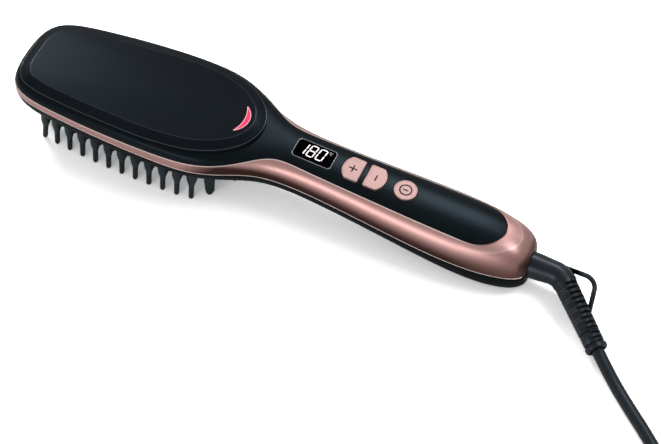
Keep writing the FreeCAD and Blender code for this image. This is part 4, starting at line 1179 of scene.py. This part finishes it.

# Edges of the trim and fine lines round the panel and its light; the trim edges and panel lines are coloured light as
# painted highlights
fineLines = {
    "radius": {"upperTrimEdge": 0.26, "lowerTrimEdge": 0.20, "panelRim": 0.16, "plateauRim": 0.10, "lampRim": 0.22},
    "lowerTo": 0.985, "rimIn": 0.2, "rimDown": 0.05, "plateauDown": 0.08, "lampOut": 0.05, "lampUp": 0.02,
}
rimIn, plateauIn = panel["inset"] + fineLines["rimIn"], panel["inset"] + panel["bevel"]
lampLine = [stood((x, y, panel["top"] + fineLines["lampUp"])) for x, y in crescentRing(fineLines["lampOut"])]
for name, points, material, slot in (
        ("upperTrimEdge", seamPoints(trimEdges[0], rowShares(inlayEnd, True)), edgeShine(), "rose_metal"),
        ("lowerTrimEdge", seamPoints(trimEdges[1], rowShares(fineLines["lowerTo"])), seamPaintedHighlight, "rose_metal"),
        ("panelRim", panelRing(rimIn, panel["edge"] - fineLines["rimDown"]), rimPaintedHighlight, "panel_gloss"),
        ("plateauRim", panelRing(plateauIn, panel["top"] - fineLines["plateauDown"]), rimPaintedHighlight, "panel_gloss"),
        ("lampRim", lampLine, lensEdge, "light_red")):
    tube = sweptTube(name, points, fineLines["radius"][name], name != "lowerTrimEdge")
    finish(tube, [], material=material, body="housing", slot=slot)
print("shells dressed")


# Pins round the rim, and the wide teeth at the neck
pins = {
    "row": [(-124.63, 22.99), (-116.52, 24.19), (-108.41, 25.15), (-100.30, 25.98), (-92.19, 26.67), (-84.08, 27.23),
            (-75.97, 27.64), (-67.86, 27.92), (-59.75, 28.05), (-51.64, 28.01), (-43.54, 27.66), (-35.43, 26.78)],
    "standing": (0, 1, 10, 11),  # the places in the row that the head stands on
    "front": [(-130.03, 0.0), (-129.03, 12.2), (-129.03, -12.2)],
    "levels": [  # level and radius of each ring, from the tip up
        (0.0, 0.45), (0.25, 0.95), (0.8, 1.3), (1.6, 1.42), (8.0, 1.5), (9.5, 1.65), (11.0, 2.0), (12.5, 2.4),
        (14.5, 2.8), (21.5, 3.1),
    ],
    "sides": 20, "lean": 0.13,
    "teeth": [(-27.361, 20.63), (-27.361, -20.63), (-19.41, 6.716), (-19.41, -6.716)],
    "toothTaper": 9.0, "toothTip": 0.55,
}


def turnedPiece(name, levels, sides):
    # Raised from a disc, ring by ring
    deselectAll()
    level, radius = levels[0]
    bpy.ops.mesh.primitive_circle_add(vertices=sides, radius=radius * mm, fill_type="NGON", location=(0, 0, level * mm))
    piece = bpy.context.object
    piece.name = name
    bpy.ops.object.transform_apply(location=True)
    openAll(piece)
    for (level, radius), (nextLevel, nextRadius) in zip(levels, levels[1:]):
        bpy.ops.mesh.extrude_region_move(TRANSFORM_OT_translate={"value": (0, 0, (nextLevel - level) * mm)})
        scale = nextRadius / radius
        bpy.ops.transform.resize(value=(scale, scale, 1), center_override=(0, 0, nextLevel * mm))
    closeTurnedOut()
    return piece


def copiedTo(name, model, places):
    # One piece of copies of a model, leaning inward as they rise, each with its own part of the mesh
    points, faces = [], []
    for x, y in places:
        start = len(points)
        inward = Vector((0, -y, 0)) if x > pins["row"][0][0] else Vector((pins["row"][2][0] - x, -y, 0))
        lean = inward.normalized() * pins["lean"]
        points += [vertex.co + Vector((x, y, 0)) * mm + lean * vertex.co.z for vertex in model.data.vertices]
        faces += [tuple(start + index for index in face.vertices) for face in model.data.polygons]
    return newMesh(name, points, faces)


pinModel = turnedPiece("pinModel", pins["levels"], pins["sides"])
standing, guard = [], list(pins["front"])
for index, (x, y) in enumerate(pins["row"]):
    group = standing if index in pins["standing"] else guard
    group += [(x, y), (x, -y)]
finish(copiedTo("standingPins", pinModel, standing), ["standing_bristles"], smoothAngle=50)
finish(copiedTo("guardPins", pinModel, guard), ["guard_bristles"], smoothAngle=50)
bpy.data.objects.remove(pinModel)
neckTeeth = dressedCopy("neck_teeth", "neckTeeth", smoothAngle=50, bevel=0.8 * mm, segments=4)
for vertex in neckTeeth.data.vertices:
    # Each tooth narrows to its tip
    share = easedShare(vertex.co.z / (pins["toothTaper"] * mm))
    x, y = min(pins["teeth"], key=lambda place: math.dist(place, vertex.co.xy / mm))
    middle = Vector((x, y)) * mm
    vertex.co.xy = middle + (vertex.co.xy - middle) * between(pins["toothTip"], 1.0, share)
dressedCopy("tooth_caps", "toothCaps", smoothAngle=40, bevel=0.4 * mm, segments=2)
print("pins set")


# Elbow: root, bend and ribbed sleeve, turned about a line that bends once
elbowParts = {
    "exit": (144.692, 0.0, 13.068), "roll": 13.6, "leg": 16.4, "bendRadius": 11.0, "turn": 44.8, "bendSteps": 12,
    "rootRings": [(-6.0, 7.0), (-1.0, 7.0), (2.0, 7.0), (5.0, 6.85), (9.0, 6.55)],  # place and radius
    "bend": 6.4, "sleeve": 6.0, "sleeveEnd": 5.4, "length": 44.2, "sleeveFrom": 1.6, "sleeveTo": 4.1,
    "sleeveLead": (1.0, 0.1), "sleeveParts": (0.35, 0.7),
    "collarRings": [  # back from the end, and radius
        (3.8, 5.25), (3.7, 4.5), (3.0, 4.5), (2.9, 5.3), (2.5, 5.8), (1.2, 5.8), (0.5, 5.6), (0.1, 5.1), (0.0, 4.5),
        (0.1, 4.1), (1.5, 3.8), (1.6, 2.9),
    ],
    "groove": 34.6, "grooveWidth": 0.9, "grooveDepth": 0.7, "grooveRound": 0.15,
    "sides": 40, "slots": 12, "firstSlot": 7.2, "slotPitch": 2.88, "slotWidth": 1.45,
    "slotFloor": 3.7, "slotCorner": 0.5, "slotTop": 9.0, "slotSpan": 11.0, "slotAngle": 58.0, "slotSwing": 6.0,
    "linesBeside": (1, 3, 5, 7), "lineApart": 0.25, "lineArc": (104.0, 150.0), "lineRadius": 0.17, "lineSteps": 10,
}
elbowFrame = (Matrix.Translation(Vector(elbowParts["exit"]) * mm)
              @ Matrix.Rotation(math.radians(elbowParts["roll"]), 4, "X"))


def aroundAt(heading, angle):
    # A direction square to a heading in the elbow's plane, turned from the bend's outer side
    turn = math.radians(heading)
    return math.cos(angle) * Vector((math.sin(turn), math.cos(turn), 0)) + math.sin(angle) * Vector((0, 0, 1))


def elbowRing(centre, heading, radius):
    count = elbowParts["sides"]
    return [elbowFrame @ ((centre + radius * aroundAt(heading, 2 * math.pi * index / count)) * mm)
            for index in range(count)]


def alongSleeve(distance):
    e = elbowParts
    turn = math.radians(e["turn"])
    return Vector((e["leg"] + distance * math.cos(turn), -distance * math.sin(turn), 0))


def buildElbow():
    e = elbowParts
    tangent = e["bendRadius"] * math.tan(math.radians(e["turn"] / 2))
    rows = [elbowRing(Vector((x, 0, 0)), 0, radius) for x, radius in e["rootRings"]]
    for step in range(e["bendSteps"] + 1):
        heading = e["turn"] * step / e["bendSteps"]
        turn = math.radians(heading)
        x = e["leg"] - tangent + e["bendRadius"] * math.sin(turn)
        rows.append(elbowRing(Vector((x, e["bendRadius"] * (math.cos(turn) - 1), 0)), heading, e["bend"]))
    start, last = tangent + e["sleeveFrom"], e["length"] - e["sleeveTo"]
    half, lip = e["grooveWidth"] / 2, e["grooveRound"]
    side = [(half + lip, 0), (half, lip), (half - lip, e["grooveDepth"])]
    dips = [(between(start, e["groove"], part), 0) for part in e["sleeveParts"]]
    dips += [(e["groove"] - out, down) for out, down in side]
    dips += [(e["groove"] + out, down) for out, down in reversed(side)] + [(last, 0)]
    profile = [(start - e["sleeveLead"][0], e["bend"] - e["sleeveLead"][1]), (start, e["sleeve"])]
    profile += [(distance, between(e["sleeve"], e["sleeveEnd"], (distance - start) / (last - start)) - down)
                for distance, down in dips]
    profile += [(e["length"] - back, radius) for back, radius in e["collarRings"]]
    rows += [elbowRing(alongSleeve(distance), e["turn"], radius) for distance, radius in profile]
    piece = loftPiece("cordElbow", rows)
    cutAway(piece, [slotCutter(0), slotCutter(180)])
    return piece


def slotCutter(opposite):
    # All the slots of one side as one set of thin boxes across the sleeve
    e = elbowParts
    turn = math.radians(e["turn"])
    along = Vector((math.cos(turn), -math.sin(turn), 0))
    floor, corner = e["slotFloor"], e["slotFloor"] + e["slotCorner"]
    half, flat, top = 0.5, 0.4, e["slotTop"]  # shares of the slot's span, and how high its cutter reaches
    shape = ((-half, corner), (-flat, floor), (flat, floor), (half, corner), (half, top), (-half, top))
    points, faces = [], []
    for index in range(e["slots"]):
        swing = e["slotSwing"] if index % 2 else -e["slotSwing"]
        depthways = aroundAt(e["turn"], math.radians(e["slotAngle"] + opposite + swing))
        sideways = depthways.cross(along)
        centre = alongSleeve(e["firstSlot"] + e["slotPitch"] * index)
        start = len(points)
        points += [elbowFrame @ ((centre + along * (end * e["slotWidth"]) + sideways * (reach * e["slotSpan"])
                                  + depthways * depth) * mm) for end in (-half, half) for reach, depth in shape]
        faces += endFaces(start, start + len(shape), len(shape)) + sideFaces(start, len(shape))
    piece = newMesh("slots", points, faces)
    mergeAndTurnOut(piece)
    return piece


def sleeveLines():
    # Pairs of fine raised lines opposite the slots' ends, coloured lighter than the rubber as painted highlight
    e = elbowParts
    pieces = []
    for slot in e["linesBeside"]:
        for side in (-1, 1):
            distance = e["firstSlot"] + e["slotPitch"] * (slot + side * e["lineApart"])
            radius = between(e["sleeve"], e["sleeveEnd"], distance / e["length"])
            angles = [math.radians(between(*e["lineArc"], step / e["lineSteps"])) for step in range(e["lineSteps"] + 1)]
            points = [elbowFrame @ ((alongSleeve(distance) + radius * aroundAt(e["turn"], angle)) * mm)
                      for angle in angles]
            pieces.append(sweptTube("sleeveLine", points, e["lineRadius"], False, sides=6))
    deselectAll()
    for piece in pieces:
        piece.select_set(True)
    bpy.context.view_layer.objects.active = pieces[0]
    bpy.ops.object.join()
    pieces[0].name = "sleeveLines"
    return pieces[0]


elbow = finish(buildElbow(), ["swivel_elbow"], smoothAngle=35)
# Painted highlight: the sleeve's fine lines are lighter than the rubber
linePaintedHighlight = plainFinish("sleeveLine", (0.06, 0.068, 0.075), 0.35)
lines = finish(sleeveLines(), [], material=linePaintedHighlight, body="cord_swivel", slot="cord_rubber")
loop = dressedCopy("hanging_loop", "hangingLoop", smoothAngle=60)
plug = dressedCopy("plug_body", "plugBody", smoothAngle=40, bevel=1.0 * mm, segments=3)


# Floor and light
studio = {
    "floorColor": 0.70, "floorSize": 40, "floorLevel": -0.0002,
    "floorGain": 1.2,  # added to the colour for what the camera sees, so faint shadows go white
    "floorLift": 0.15, "worldLevel": 0.42, "aim": (0, 0, 0.02),
    "lamps": [  # name, place, width, depth, watts
        ("headLamp", (-0.92, 0.62, 0.80), 0.5, 0.5, 7.0),
        ("gripLamp", (0.02, 0.66, 0.86), 0.34, 0.20, 3.2),
        ("frontLamp", (-0.15, -1.05, 0.30), 0.9, 0.36, 3.8),
        ("endLamp", (0.56, 0.16, 0.82), 0.36, 0.36, 1.9),
    ],
}


def layFloor():
    deselectAll()
    bpy.ops.mesh.primitive_plane_add(size=studio["floorSize"], location=(0, 0, studio["floorLevel"]))
    floor = bpy.context.object
    floor.name = "floor"
    material = bpy.data.materials.new("paleFloor")
    material.use_nodes = True
    tree = material.node_tree
    tree.nodes.clear()
    seen = addNode(tree, "LightPath").outputs["Is Camera Ray"]
    shade = addNode(tree, "Math", {0: seen, 1: studio["floorGain"], 2: studio["floorColor"]}, operation="MULTIPLY_ADD")
    matte = addNode(tree, "BsdfDiffuse", {"Color": shade.outputs["Value"]})
    level = mathNode(tree, "MULTIPLY", seen, studio["floorLift"])
    glow = addNode(tree, "Emission", {"Color": white, "Strength": level})
    both = addNode(tree, "AddShader", {0: matte.outputs["BSDF"], 1: glow.outputs["Emission"]})
    addNode(tree, "OutputMaterial", {"Surface": both.outputs["Shader"]})
    floor.data.materials.append(material)


def lightStudio():
    world = bpy.data.worlds.new("studio")
    world.use_nodes = True
    background = world.node_tree.nodes["Background"]
    setInput(world.node_tree, background.inputs["Color"], white)
    background.inputs["Strength"].default_value = studio["worldLevel"]
    bpy.context.scene.world = world
    for name, place, width, depth, watts in studio["lamps"]:
        data = bpy.data.lights.new(name, "AREA")
        data.shape = "ELLIPSE"
        data.size = width
        data.size_y = depth
        data.energy = watts
        lamp = addObject(name, data)
        lamp.location = place
        lamp.rotation_euler = (Vector(studio["aim"]) - Vector(place)).to_track_quat("-Z", "Y").to_euler()


layFloor()
lightStudio()
bpy.context.scene.view_settings.view_transform = "Standard"
print("studio lit")
